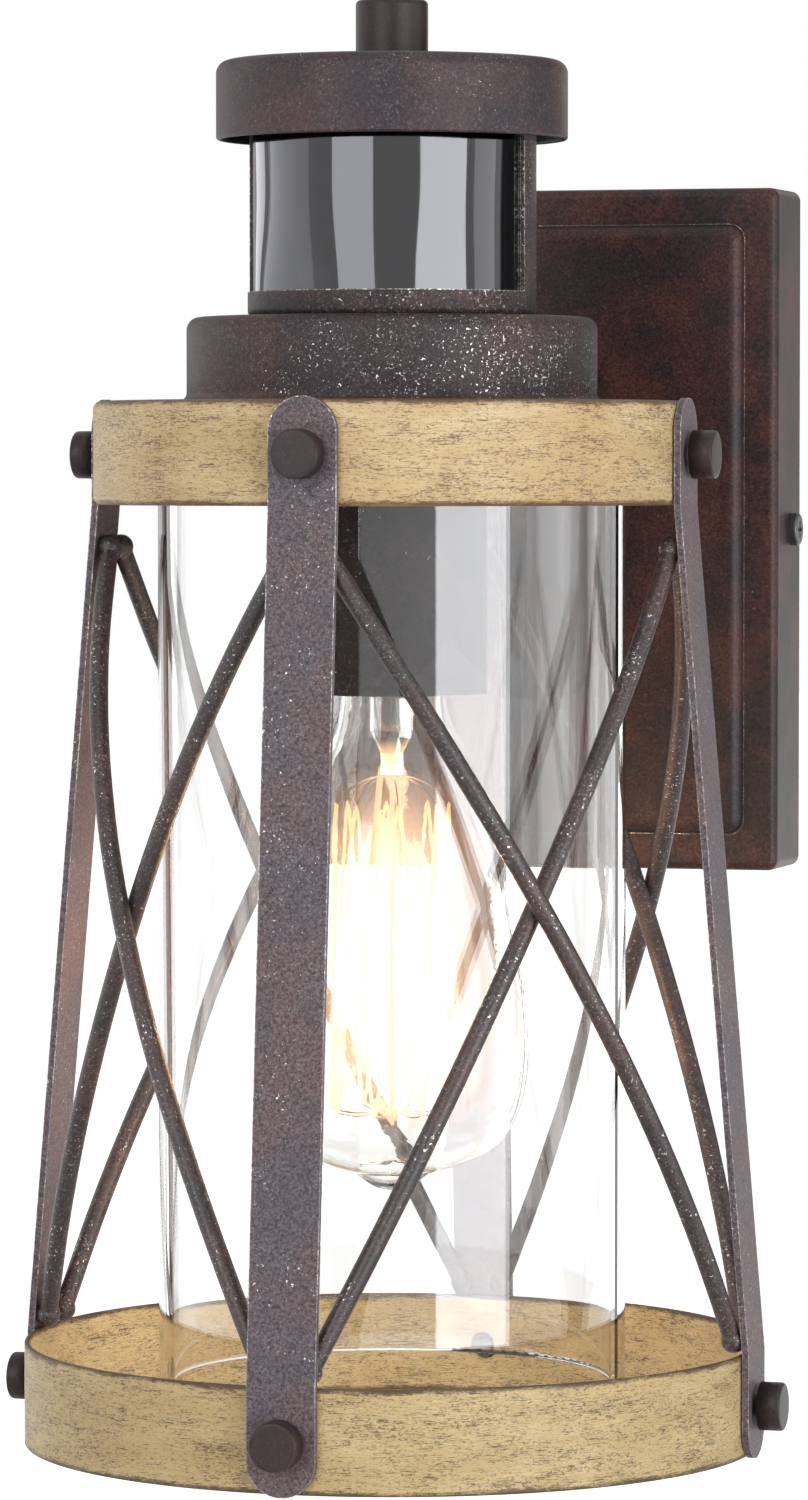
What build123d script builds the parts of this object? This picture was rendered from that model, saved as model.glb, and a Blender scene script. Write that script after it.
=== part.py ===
"""Outdoor wall lantern: a sensor head over a roof pan, a strap-and-rod cage, an open glass cylinder.

Lengths in mm. The wall is the plane Y = 0 and the origin is the middle of the wall plate's back.
The lantern stands off the wall towards -Y, +X is the right as seen from the street, +Z is up.
Angles round the lantern's vertical axis count from the front (-Y) towards +X.
"""

import os
from math import atan2, cos, degrees, hypot, pi, radians, sin, sqrt, tan

from build123d import *

os.makedirs("parts", exist_ok=True)

# --- fits ------------------------------------------------------------------------------------
seat_gap = 0.02            # between faces that are pressed, clamped or welded together
running_gap = 0.05         # radial, a thread or pin in its hole
screw_hole_gap = 0.4       # radial, a screw passing freely through sheet
curve_gap = 0.12           # a flat head or nut seated against a curved wall

# --- wall plate, bracket and arm --------------------------------------------------------------
plate_width = 128.0
plate_height = 169.0
plate_depth = 25.6         # wall to the front of the flat rim
plate_sheet = 1.2
plate_corner = 2.5
plate_edge_round = 2.1
panel_inset_side = 8.3
panel_inset_end = 9.0
panel_raise = 3.4
panel_round = 3.2
panel_corner = 3.8

bracket_sheet = 2.0
bracket_height = 26.0
bracket_tab = 13.0
bracket_side_gap = 0.3     # bracket tab to the inside of the plate's flank
box_slot_spacing = 79.4    # covers junction-box screws 70 to 89 mm apart
box_slot_length = 15.0
box_slot_width = 4.8
ground_screw_offset = 17.0
ground_screw_head = 4.0
ground_head_height = 2.6

side_screw_level = 0.0
side_screw_depth = 8.0     # from the wall
side_screw_radius = 2.0
side_screw_length = 12.0
side_head_radius = 4.0
side_head_height = 0.8
side_head_round = 0.5
side_washer_radius = 4.0
side_washer_sheet = 1.1
cross_slot = 0.9
cross_slot_length = 4.4
cross_slot_depth = 0.45

axis_reach = 145.0         # wall to the lantern's vertical axis
arm_level = 40.0
arm_radius = 7.0
arm_foot_radius = 10.0
arm_foot_length = 5.0
arm_foot_round = 1.5
pipe_radius = 4.9          # threaded lamp pipe, also used through the arm
pipe_bore = 3.4
pipe_nut_flats = 14.0
pipe_nut_height = 4.0
arm_pipe_end = 4.0         # pipe beyond its nut

# --- roof pan and bands -----------------------------------------------------------------------
roof_level = 30.8          # top of the upper band and of the roof's flat
roof_sheet = 1.2
collar_radius = 47.7
collar_height = 19.4
collar_round = 3.0
collar_flare = 2.0
skirt_drop = 20.0          # roof flat to the skirt's lower edge
skirt_round = 1.6

band_height = 24.0
band_sheet = 1.2
band_edge_round = 2.0
upper_band_radius = 69.4
upper_band_lip = 3.2       # how far the upper band's edges turn in
lower_band_radius = 85.8
cage_drop = 218.6          # top of the upper band to top of the lower band
lower_edge_round = 0.45

# --- straps, rods and their fasteners ---------------------------------------------------------
strap_width = 16.0
strap_sheet = 1.6
strap_top_rise = 0.6       # above the upper band
strap_bottom_rise = -0.5   # above the lower band's bottom edge
bolt_drop = 12.4           # band top to its bolts
bolt_radius = 2.0
bolt_head_radius = 3.3
bolt_head_height = 1.6
bolt_head_face_radius = 2.64
cap_nut_radius = 5.6
cap_nut_height = 6.5
cap_nut_chamfer = 0.7
cap_nut_bore_depth = 4.6

rod_radius = 2.2
rod_top_drop = 10.0        # upper band's bottom edge to the rod's end
rod_bottom_rise = 3.2      # lower band's top edge to the rod's end
rod_top_offset = 4.4       # sideways from the strap's centre line
rod_foot_offset = 5.6
rod_wrap = 0.8             # 1 lies on the cone of the straps, 0 runs straight from end to end
rod_cross_gap = 0.35       # between two rods where they cross
rod_runs = 8
weld_radius = 2.9

# --- glass cylinder and lamp holder -----------------------------------------------------------
disc_sheet = 1.5
disc_radius = 60.0
gasket_height = 1.0
glass_radius = 54.4
glass_wall = 3.0
glass_round = 6.0
glass_lip_round = 1.2
glass_bottom_drop = 9.9    # lower band's top edge to the glass's lower edge
glass_hole_radius = 6.0
cup_radius = 22.0
cup_sheet = 1.2
cup_height = 60.1
cup_round = 2.0
holder_radius = 17.5
holder_lip = 1.0           # cup's lower edge to the holder's lower edge
holder_top_rise = 13.0     # lamp-contact level to the holder's top
pipe_engagement = 6.0      # lamp pipe screwed into the holder
shell_sheet = 0.6
shell_length = 23.0
contact_radius = 3.5
contact_height = 2.4
contact_chamfer = 0.8

# --- lamp, a clear tapered tube-filament lamp --------------------------------------------------
lamp_length = 142.0
lamp_radius = 32.0
lamp_glass = 0.8
lamp_tip_level = -153.0    # lowest point of the lamp at rest
base_radius = 13.1
base_sheet = 0.5
base_length = 21.0
base_thread_pitch = 3.63
base_thread_round = 0.8
base_crest_radius = 1.0     # section of each rounded thread crest
tip_radius = 4.6
tip_height = 2.0
insulator_height = 3.0
insulator_radius = 10.5
neck_radius = 12.4
neck_inside = 5.0          # glass neck inside the base shell
lamp_widest_level = -119.0
lamp_shoulder_drop = 22.0  # base to the lamp's shoulder
lamp_shoulder_radius = 19.2
lamp_waist_drop = 46.0     # base to the middle of the taper
lamp_waist_radius = 26.6
lamp_crown_rise = 12.0     # tip to the start of the round end
lamp_crown_radius = 25.6
lamp_nipple_radius = 9.0   # where the drawn-out tip leaves the round end
lamp_nipple_rise = 4.2     # tip to that place
lamp_tip_thick = 1.6
stem_length = 24.0
stem_radius = 5.0
stem_tip_radius = 2.6
stem_rim = 1.0             # straight edge of the flare
stem_flare_drop = 6.0      # flare's top to the stem's straight tube
stem_press_length = 5.0    # flattened tip that grips the wires
stem_taper_length = 5.0
filament_wire = 0.3
filament_loops = 7         # each loop runs from a top hook down to a bottom hook and back
filament_top_radius = 13.5
filament_bottom_radius = 15.2
filament_top_drop = 49.0   # lamp contact to the top of the filament
filament_height = 75.0
support_wire = 0.45
support_rod = 1.0
support_overhang = 3.0     # support rod below the filament

# --- sensor head ------------------------------------------------------------------------------
drum_radius = 33.5
drum_sheet = 1.2
drum_height = 53.8
drum_floor_round = 1.5
window_half_angle = 82.0
window_sill = 5.8          # drum floor's underside to the window
window_height = 41.0
cover_gap = 0.1            # drum wall to cover
cover_wall = 1.5
lens_gap = 1.0             # cover to lens sheet
lens_wall = 0.8
lens_half_angle = 95.0
chassis_base = 2.6
chassis_lid = 3.5
chassis_wall = 2.0
chassis_bore = 12.0
chassis_overlap = 4.0      # degrees that its wall reaches past the lens edges
board_width = 42.0
board_height = 40.0
board_sheet = 1.6
board_corner = 1.0
board_offset = 9.0         # behind the lantern's axis
detector_radius = 4.6
detector_height = 4.2
detector_round = 0.6
detector_spacing = 20.0
photocell_radius = 2.6
photocell_height = 3.0
photocell_rise = 13.333    # above the detectors
relay_size = (19.0, 9.0, 15.0)
relay_round = 0.8
dial_radius = 5.0
dial_height = 3.4
dial_round = 0.5
dial_slot_length = 7.5
dial_circle = 19.0
dial_spread = 60.0         # angle between the two dials
dial_spindle = 1.5
dial_lift = 0.3
stud_radius = 2.5
stud_shoulder_radius = 5.0
stud_grip = 9.6            # stud inside the finial
stud_chamfer = 0.625

# --- cap and finial ---------------------------------------------------------------------------
cap_radius = 40.8
cap_height = 18.3
cap_sheet = 1.5
cap_round = 3.0
cap_lower_round = 0.7
cap_head_room = 4.0        # drum top to the inside of the cap's top
finial_washer_radius = 7.2
finial_washer_sheet = 0.8
finial_radius = 8.4
finial_height = 13.2
finial_round = 1.2
finial_chamfer = 0.4

# --- places worked out from the sizes above -----------------------------------------------------
plate_front = plate_depth + panel_raise
upper_band_bottom = roof_level - band_height
lower_band_top = roof_level - cage_drop
lower_band_bottom = lower_band_top - band_height
upper_bolt_level = roof_level - bolt_drop
lower_bolt_level = lower_band_top - bolt_drop
skirt_radius = upper_band_radius - upper_band_lip - seat_gap
collar_top = roof_level + collar_height
disc_top = roof_level - roof_sheet - seat_gap
disc_bottom = disc_top - disc_sheet
glass_top = disc_bottom - gasket_height - 2 * seat_gap
glass_bottom = lower_band_top - glass_bottom_drop
cup_top = glass_top - glass_wall - gasket_height - 2 * seat_gap
cup_bottom = cup_top - cup_height
contact_level = lamp_tip_level + lamp_length
holder_bottom = cup_bottom + holder_lip
holder_top = contact_level + holder_top_rise
screw_shell_bore = base_radius + running_gap
screw_shell_radius = screw_shell_bore + shell_sheet
screw_shell_top = contact_level - 1.0
drum_top = collar_top + seat_gap + drum_height
drum_floor_top = collar_top + seat_gap + drum_sheet
cover_radius = drum_radius - drum_sheet - cover_gap
lens_radius = cover_radius - cover_wall - lens_gap
cap_top = drum_top + cap_head_room + cap_sheet
finial_bottom = cap_top + finial_washer_sheet + 2 * seat_gap
finial_top = finial_bottom + finial_height
quarter_turns = (0, 90, 180, 270)
side_names = ("front", "right", "back", "left")

lantern_axis = Axis((0, -axis_reach, 0), (0, 0, 1))


def spoke(angle, level=0.0):
    """Upright plane through the lantern's axis: local x outwards at the angle, local y up."""
    turn = radians(angle)
    return Plane(
        origin=(0, -axis_reach, level),
        x_dir=(sin(turn), -cos(turn), 0),
        z_dir=(-cos(turn), -sin(turn), 0),
    )


def facing(angle, distance=0.0, level=0.0):
    """Upright plane that looks outwards at the angle, a distance from the lantern's axis."""
    turn = radians(angle)
    outwards = Vector(sin(turn), -cos(turn), 0)
    return Plane(
        origin=Vector(0, -axis_reach, level) + outwards * distance,
        x_dir=(cos(turn), sin(turn), 0),
        z_dir=outwards,
    )


def level_plane(level):
    """Level plane centred on the lantern's axis."""
    return Plane(origin=(0, -axis_reach, level), x_dir=(1, 0, 0), z_dir=(0, 0, 1))


half_section = spoke(90)   # profiles of round pieces are drawn here: x is the radius, y the height

# ================================ wall plate, bracket and arm ==================================
panel_width = plate_width - 2 * panel_inset_side
panel_height = plate_height - 2 * panel_inset_end

with BuildPart() as wall_plate:
    with BuildSketch(Plane.XZ):
        RectangleRounded(plate_width, plate_height, plate_corner)
    extrude(amount=plate_depth)
    fillet(wall_plate.faces().sort_by(Axis.Y)[0].edges(), plate_edge_round)
    with BuildSketch(Plane.XZ.offset(plate_depth)):
        RectangleRounded(panel_width, panel_height, panel_corner)
    extrude(amount=panel_raise)
    fillet(wall_plate.faces().sort_by(Axis.Y)[0].edges(), panel_round)
    with BuildSketch(Plane.XZ):
        RectangleRounded(plate_width - 2 * plate_sheet, plate_height - 2 * plate_sheet, plate_sheet)
    extrude(amount=plate_depth - plate_sheet, mode=Mode.SUBTRACT)
    with BuildSketch(Plane.XZ.offset(plate_depth - plate_sheet)):
        RectangleRounded(panel_width - 2 * plate_sheet, panel_height - 2 * plate_sheet, panel_corner - plate_sheet)
    extrude(amount=panel_raise, mode=Mode.SUBTRACT)
    panel_back = wall_plate.faces().filter_by(Axis.Y).sort_by_distance((0, plate_sheet - plate_front, 0))[0]
    fillet(panel_back.outer_wire().edges(), panel_round - plate_sheet)
    with BuildSketch(Plane.XZ):
        with Locations((0, arm_level)):
            Circle(pipe_radius + running_gap)
    extrude(amount=plate_front, mode=Mode.SUBTRACT)
    with BuildSketch(Plane.YZ):
        with Locations((-side_screw_depth, side_screw_level)):
            Circle(side_screw_radius + screw_hole_gap)
    extrude(amount=plate_width, both=True, mode=Mode.SUBTRACT)
wall_plate.part.label = "wall_plate"
export_step(wall_plate.part, "parts/wall_plate.step")

tab_outside = plate_width / 2 - plate_sheet - bracket_side_gap
with BuildPart() as mounting_bracket:
    with BuildSketch(Plane.XY.offset(side_screw_level - bracket_height / 2)):
        with Locations((0, -bracket_tab / 2)):
            Rectangle(2 * tab_outside, bracket_tab)
        with Locations((0, -(bracket_tab + bracket_sheet) / 2)):
            Rectangle(2 * (tab_outside - bracket_sheet), bracket_tab - bracket_sheet, mode=Mode.SUBTRACT)
    extrude(amount=bracket_height)
    bends = mounting_bracket.edges().filter_by(Axis.Z).group_by(Axis.Y)[-1]
    fillet(bends, bracket_sheet)
    with BuildSketch(Plane.XZ):
        with Locations((-box_slot_spacing / 2, side_screw_level), (box_slot_spacing / 2, side_screw_level)):
            SlotOverall(box_slot_length, box_slot_width)
        with Locations((ground_screw_offset, side_screw_level)):
            Circle(side_screw_radius + running_gap)
    extrude(amount=bracket_sheet, mode=Mode.SUBTRACT)
    with BuildSketch(Plane.YZ):
        with Locations((-side_screw_depth, side_screw_level)):
            Circle(side_screw_radius + running_gap)
    extrude(amount=plate_width, both=True, mode=Mode.SUBTRACT)
mounting_bracket.part.label = "mounting_bracket"
export_step(mounting_bracket.part, "parts/mounting_bracket.step")

with BuildPart() as ground_screw:
    with BuildSketch(Plane.XZ):
        with Locations((ground_screw_offset, side_screw_level)):
            Circle(side_screw_radius)
    extrude(amount=bracket_sheet + seat_gap)
    with BuildSketch(Plane.XZ.offset(bracket_sheet + seat_gap)):
        with Locations((ground_screw_offset, side_screw_level)):
            Circle(ground_screw_head)
    extrude(amount=ground_head_height)
    fillet(ground_screw.faces().sort_by(Axis.Y)[0].edges(), cross_slot)
    with BuildSketch(Plane.XZ.offset(bracket_sheet + ground_head_height - cross_slot)):
        with Locations((ground_screw_offset, side_screw_level)):
            Rectangle(2 * ground_screw_head, cross_slot)
    extrude(amount=2 * cross_slot, mode=Mode.SUBTRACT)
ground_screw.part.label = "ground_screw"
export_step(ground_screw.part, "parts/ground_screw.step")

# The two side screws clamp the plate's flanks to the bracket's tabs, each over a black washer.
for side_name, side in (("right", 1), ("left", -1)):
    flank = Plane(
        origin=(side * plate_width / 2, -side_screw_depth, side_screw_level),
        x_dir=(0, side, 0),
        z_dir=(side, 0, 0),
    )
    with BuildPart() as side_washer:
        with BuildSketch(flank.offset(seat_gap)):
            Circle(side_washer_radius)
            Circle(side_screw_radius + running_gap, mode=Mode.SUBTRACT)
        extrude(amount=side_washer_sheet)
    side_washer.part.label = f"side_washer_{side_name}"
    export_step(side_washer.part, f"parts/side_washer_{side_name}.step")

    head_seat = side_washer_sheet + 2 * seat_gap
    with BuildPart() as side_screw:
        with BuildSketch(flank.offset(head_seat - side_screw_length)):
            Circle(side_screw_radius)
        extrude(amount=side_screw_length)
        with BuildSketch(flank.offset(head_seat)):
            Circle(side_head_radius)
        extrude(amount=side_head_height)
        head_face = side_screw.faces().sort_by(Axis.X)[-1 if side > 0 else 0]
        fillet(head_face.edges(), side_head_round)
        with BuildSketch(flank.offset(head_seat + side_head_height - cross_slot_depth)):
            Rectangle(cross_slot_length, cross_slot)
            Rectangle(cross_slot, cross_slot_length)
        extrude(amount=2 * cross_slot, mode=Mode.SUBTRACT)
    side_screw.part.label = f"side_screw_{side_name}"
    export_step(side_screw.part, f"parts/side_screw_{side_name}.step")

collar_back = axis_reach - collar_radius   # wall to the back of the roof pan's collar
with BuildPart() as arm:
    with BuildSketch(Plane.XZ.offset(plate_front + seat_gap)):
        with Locations((0, arm_level)):
            Circle(arm_radius)
    extrude(amount=collar_back - plate_front + arm_radius)
    with BuildSketch(Plane.XZ.offset(plate_front + seat_gap)):
        with Locations((0, arm_level)):
            Circle(arm_foot_radius)
    extrude(amount=arm_foot_length)
    foot_front = arm.faces().filter_by(Plane.XZ).sort_by(Axis.Y)[-2]
    fillet(foot_front.edges().sort_by(SortBy.LENGTH)[-1], arm_foot_round)
    with BuildSketch(Plane.XZ):
        with Locations((0, arm_level)):
            Circle(pipe_radius + running_gap)
    extrude(amount=axis_reach, mode=Mode.SUBTRACT)
    with BuildSketch(level_plane(0)):
        Circle(collar_radius + seat_gap)
    extrude(amount=2 * arm_level, mode=Mode.SUBTRACT)
arm.part.label = "arm"
export_step(arm.part, "parts/arm.step")

plate_nut_front = plate_front - plate_sheet - seat_gap
pipe_nut_corner = pipe_nut_flats / 2 / cos(pi / 6)
collar_nut_back = axis_reach - sqrt((collar_radius - roof_sheet) ** 2 - pipe_nut_corner**2) + seat_gap
arm_pipe_start = plate_nut_front - pipe_nut_height - arm_pipe_end
arm_pipe_stop = collar_nut_back + pipe_nut_height + arm_pipe_end
with BuildPart() as arm_pipe:
    with BuildSketch(Plane.XZ.offset(arm_pipe_start)):
        with Locations((0, arm_level)):
            Circle(pipe_radius)
            Circle(pipe_bore, mode=Mode.SUBTRACT)
    extrude(amount=arm_pipe_stop - arm_pipe_start)
arm_pipe.part.label = "arm_pipe"
export_step(arm_pipe.part, "parts/arm_pipe.step")

with BuildPart() as arm_nuts:
    for nut_start in (plate_nut_front - pipe_nut_height, collar_nut_back):
        with BuildSketch(Plane.XZ.offset(nut_start)):
            with Locations((0, arm_level)):
                RegularPolygon(pipe_nut_flats / 2, 6, major_radius=False)
                Circle(pipe_radius + running_gap, mode=Mode.SUBTRACT)
        extrude(amount=pipe_nut_height)
arm_nuts.part.label = "arm_nuts"
export_step(arm_nuts.part, "parts/arm_nuts.step")

# ===================================== roof pan and bands ======================================
with BuildPart() as roof_pan:
    with BuildSketch(half_section):
        with BuildLine():
            FilletPolyline(
                (pipe_radius + running_gap, collar_top),
                (collar_radius, collar_top),
                (collar_radius, roof_level),
                (skirt_radius, roof_level),
                (skirt_radius, roof_level - skirt_drop),
                radius=[collar_round, collar_flare, skirt_round],
            )
            offset(amount=roof_sheet, side=Side.RIGHT)
        make_face()
    revolve(axis=lantern_axis)
    with BuildSketch(Plane.XZ.offset(collar_back - collar_round)):
        with Locations((0, arm_level)):
            Circle(pipe_radius + running_gap)
    extrude(amount=2 * collar_round, mode=Mode.SUBTRACT)
    for angle in quarter_turns:
        with BuildSketch(facing(angle, 0, upper_bolt_level)):
            Circle(bolt_radius + running_gap)
        extrude(amount=upper_band_radius, mode=Mode.SUBTRACT)
roof_pan.part.label = "roof_pan"
export_step(roof_pan.part, "parts/roof_pan.step")

with BuildPart() as upper_band:
    with BuildSketch(half_section):
        with Locations((upper_band_radius - upper_band_lip / 2, roof_level - band_height / 2)):
            outer = Rectangle(upper_band_lip, band_height)
        fillet(outer.vertices().group_by(Axis.X)[-1], band_edge_round)
        with Locations((upper_band_radius - (upper_band_lip + band_sheet) / 2, roof_level - band_height / 2)):
            Rectangle(upper_band_lip - band_sheet, band_height - 2 * band_sheet, mode=Mode.SUBTRACT)
    revolve(axis=lantern_axis)
    for angle in quarter_turns:
        with BuildSketch(facing(angle, 0, upper_bolt_level)):
            Circle(bolt_radius + running_gap)
        extrude(amount=2 * upper_band_radius, mode=Mode.SUBTRACT)
upper_band.part.label = "upper_band"
export_step(upper_band.part, "parts/upper_band.step")

with BuildPart() as lower_band:
    with BuildSketch(half_section):
        with Locations((lower_band_radius - band_sheet / 2, lower_band_top - band_height / 2)):
            hoop = Rectangle(band_sheet, band_height)
        fillet(hoop.vertices(), lower_edge_round)
    revolve(axis=lantern_axis)
    for angle in quarter_turns:
        with BuildSketch(facing(angle, 0, lower_bolt_level)):
            Circle(bolt_radius + running_gap)
        extrude(amount=2 * lower_band_radius, mode=Mode.SUBTRACT)
lower_band.part.label = "lower_band"
export_step(lower_band.part, "parts/lower_band.step")

# ================================= straps, rods and fasteners ==================================
strap_top = roof_level + strap_top_rise
strap_bottom = lower_band_bottom + strap_bottom_rise
upper_strap_seat = upper_band_radius + seat_gap
lower_strap_seat = lower_band_radius + seat_gap
strap_foot = (lower_strap_seat, lower_band_top)
strap_shoulder = (upper_strap_seat, upper_band_bottom)

for side_name, angle in zip(side_names, quarter_turns):
    with BuildPart() as strap:
        with BuildSketch(spoke(angle)):
            with BuildLine():
                Polyline(
                    (upper_strap_seat, strap_top),
                    strap_shoulder,
                    strap_foot,
                    (lower_strap_seat, strap_bottom),
                    (lower_strap_seat + strap_sheet, strap_bottom),
                    (strap_foot[0] + strap_sheet, strap_foot[1]),
                    (strap_shoulder[0] + strap_sheet, strap_shoulder[1]),
                    (upper_strap_seat + strap_sheet, strap_top),
                    close=True,
                )
            make_face()
        extrude(amount=strap_width / 2, both=True)
        with BuildSketch(facing(angle, 0, (strap_top + strap_bottom) / 2)):
            SlotOverall(strap_top - strap_bottom, strap_width, rotation=90)
        extrude(amount=2 * lower_band_radius, mode=Mode.INTERSECT)
        for level in (upper_bolt_level, lower_bolt_level):
            with BuildSketch(facing(angle, 0, level)):
                Circle(bolt_radius + running_gap)
            extrude(amount=2 * lower_band_radius, mode=Mode.SUBTRACT)
    strap.part.label = f"strap_{side_name}"
    export_step(strap.part, f"parts/strap_{side_name}.step")

# The cage is a cone. A rod that is straight on the cone's flat pattern wraps round the cone from
# the top of one strap to the foot of the next. These rods are bent a little less than that.
cage_slope = atan2(lower_strap_seat - upper_strap_seat, upper_band_bottom - lower_band_top)
rod_top = upper_band_bottom - rod_top_drop
rod_bottom = lower_band_top + rod_bottom_rise


def cage_radius(level):
    """Distance from the axis to the inside of a strap at a height between the bands."""
    return upper_strap_seat + (upper_band_bottom - level) * tan(cage_slope)


def rod_route(angle, way, dip):
    """Points down a rod from the strap at the angle to the next strap on the side of way (1, -1)."""
    top_radius = cage_radius(rod_top)
    foot_radius = cage_radius(rod_bottom)
    start = degrees(rod_top_offset / top_radius)
    stop = 90 - degrees(rod_foot_offset / foot_radius)
    pattern_angle = radians(stop - start) * sin(cage_slope)
    near = top_radius / sin(cage_slope)
    far = foot_radius / sin(cage_slope)
    ends = []
    for turned, radius, height in ((start, top_radius, rod_top), (stop, foot_radius, rod_bottom)):
        direction = radians(angle + way * turned)
        reach = radius - rod_radius - seat_gap
        ends.append(Vector(reach * sin(direction), -axis_reach - reach * cos(direction), height))
    points = []
    for run in range(rod_runs + 1):
        share = run / rod_runs
        across = share * far * sin(pattern_angle)
        along = near + share * (far * cos(pattern_angle) - near)
        radius = hypot(across, along) * sin(cage_slope)
        turned = start + degrees(atan2(across, along) / sin(cage_slope))
        height = upper_band_bottom - (radius - upper_strap_seat) / tan(cage_slope)
        inset = rod_radius + seat_gap + dip * sin(pi * share)
        direction = radians(angle + way * turned)
        wrapped = Vector((radius - inset) * sin(direction), -axis_reach - (radius - inset) * cos(direction), height)
        straight = ends[0] + (ends[1] - ends[0]) * share
        points.append(straight + (wrapped - straight) * rod_wrap)
    return points


def rod_bend_radii(points):
    """Largest gentle bend that each corner of a route allows."""
    radii = []
    for before, corner, after in zip(points, points[1:], points[2:]):
        turn = radians((corner - before).get_angle(after - corner))
        shorter = min((corner - before).length, (after - corner).length)
        radii.append(0.45 * shorter / tan(turn / 2))
    return radii


def strap_face(angle, level):
    """Plane of the sloping inside face of the strap at the angle, looking outwards."""
    turn = radians(angle)
    return Plane(
        origin=(cage_radius(level) * sin(turn), -axis_reach - cage_radius(level) * cos(turn), level),
        z_dir=(cos(cage_slope) * sin(turn), -cos(cage_slope) * cos(turn), sin(cage_slope)),
    )


inner_dip = (2 * rod_radius + rod_cross_gap) / rod_wrap
for corner_name, angle in zip(("front_right", "back_right", "back_left", "front_left"), quarter_turns):
    for layer, first, way, dip in (("outer", angle, 1, 0.0), ("inner", angle + 90, -1, inner_dip)):
        points = rod_route(first, way, dip)
        with BuildPart() as rod:
            with BuildLine() as route:
                FilletPolyline(*points, radius=rod_bend_radii(points))
            with BuildSketch(Plane(origin=route.line @ 0, z_dir=route.line % 0)):
                Circle(rod_radius)
            sweep(path=route.line)
            with Locations(points[0], points[-1]):
                Sphere(weld_radius)
            split(bisect_by=strap_face(first, rod_top).offset(-seat_gap), keep=Keep.BOTTOM)
            split(bisect_by=strap_face(first + way * 90, rod_bottom).offset(-seat_gap), keep=Keep.BOTTOM)
        rod.part.label = f"rod_{layer}_{corner_name}"
        export_step(rod.part, f"parts/rod_{layer}_{corner_name}.step")

for band_name, level, seat, inside in (
    ("upper", upper_bolt_level, upper_strap_seat + strap_sheet, skirt_radius - roof_sheet),
    ("lower", lower_bolt_level, lower_strap_seat + strap_sheet, lower_band_radius - band_sheet),
):
    nut_start = seat + seat_gap
    nut_stop = nut_start + cap_nut_height
    bore_end = nut_start + cap_nut_bore_depth
    with BuildPart() as cap_nuts:
        for angle in quarter_turns:
            with BuildSketch(spoke(angle, level)):
                with BuildLine():
                    Polyline(
                        (nut_start, bolt_radius + running_gap),
                        (nut_start, cap_nut_radius),
                        (nut_stop - cap_nut_chamfer, cap_nut_radius),
                        (nut_stop, cap_nut_radius - cap_nut_chamfer),
                        (nut_stop, 0),
                        (bore_end, 0),
                        (bore_end, bolt_radius + running_gap),
                        close=True,
                    )
                make_face()
            revolve(axis=Axis(spoke(angle, level).origin, spoke(angle).x_dir))
    cap_nuts.part.label = f"{band_name}_cap_nuts"
    export_step(cap_nuts.part, f"parts/{band_name}_cap_nuts.step")

    head_face = inside - curve_gap
    with BuildPart() as band_screws:
        for angle in quarter_turns:
            with BuildSketch(spoke(angle, level)):
                with BuildLine():
                    Polyline(
                        (bore_end - seat_gap, 0),
                        (bore_end - seat_gap, bolt_radius),
                        (head_face, bolt_radius),
                        (head_face, bolt_head_radius),
                        (head_face - bolt_head_height, bolt_head_face_radius),
                        (head_face - bolt_head_height, 0),
                        close=True,
                    )
                make_face()
            revolve(axis=Axis(spoke(angle, level).origin, spoke(angle).x_dir))
    band_screws.part.label = f"{band_name}_band_screws"
    export_step(band_screws.part, f"parts/{band_name}_band_screws.step")

# ================================== glass cylinder and holder ==================================
with BuildPart() as support_disc:
    with BuildSketch(level_plane(disc_bottom)):
        Circle(disc_radius)
        Circle(pipe_radius + running_gap, mode=Mode.SUBTRACT)
    extrude(amount=disc_sheet)
support_disc.part.label = "support_disc"
export_step(support_disc.part, "parts/support_disc.step")

with BuildPart() as glass_gaskets:
    for level in (glass_top + seat_gap, cup_top + seat_gap):
        with BuildSketch(level_plane(level)):
            Circle(cup_radius)
            Circle(glass_hole_radius, mode=Mode.SUBTRACT)
        extrude(amount=gasket_height)
glass_gaskets.part.label = "glass_gaskets"
export_step(glass_gaskets.part, "parts/glass_gaskets.step")

with BuildPart() as glass_cylinder:
    with BuildSketch(half_section):
        with BuildLine():
            FilletPolyline(
                (glass_hole_radius, glass_top),
                (glass_radius, glass_top),
                (glass_radius, glass_bottom),
                radius=[glass_round],
            )
            offset(amount=glass_wall, side=Side.RIGHT)
        make_face()
    revolve(axis=lantern_axis)
    fillet(glass_cylinder.edges().group_by(Axis.Z)[0], glass_lip_round)
glass_cylinder.part.label = "glass_cylinder"
export_step(glass_cylinder.part, "parts/glass_cylinder.step")

pipe_bottom = holder_top - pipe_engagement
pipe_top = drum_floor_top + pipe_nut_height + arm_pipe_end
with BuildPart() as lamp_pipe:
    with BuildSketch(level_plane(pipe_bottom)):
        Circle(pipe_radius)
        Circle(pipe_bore, mode=Mode.SUBTRACT)
    extrude(amount=pipe_top - pipe_bottom)
lamp_pipe.part.label = "lamp_pipe"
export_step(lamp_pipe.part, "parts/lamp_pipe.step")

with BuildPart() as pipe_nuts:
    for level in (drum_floor_top + seat_gap, cup_top - cup_sheet - seat_gap - pipe_nut_height):
        with BuildSketch(level_plane(level)):
            RegularPolygon(pipe_nut_flats / 2, 6, major_radius=False)
            Circle(pipe_radius + running_gap, mode=Mode.SUBTRACT)
        extrude(amount=pipe_nut_height)
pipe_nuts.part.label = "pipe_nuts"
export_step(pipe_nuts.part, "parts/pipe_nuts.step")

with BuildPart() as socket_cup:
    with BuildSketch(half_section):
        with BuildLine():
            FilletPolyline(
                (pipe_radius + running_gap, cup_top),
                (cup_radius, cup_top),
                (cup_radius, cup_bottom),
                radius=[cup_round],
            )
            offset(amount=cup_sheet, side=Side.RIGHT)
        make_face()
    revolve(axis=lantern_axis)
socket_cup.part.label = "socket_cup"
export_step(socket_cup.part, "parts/socket_cup.step")

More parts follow.
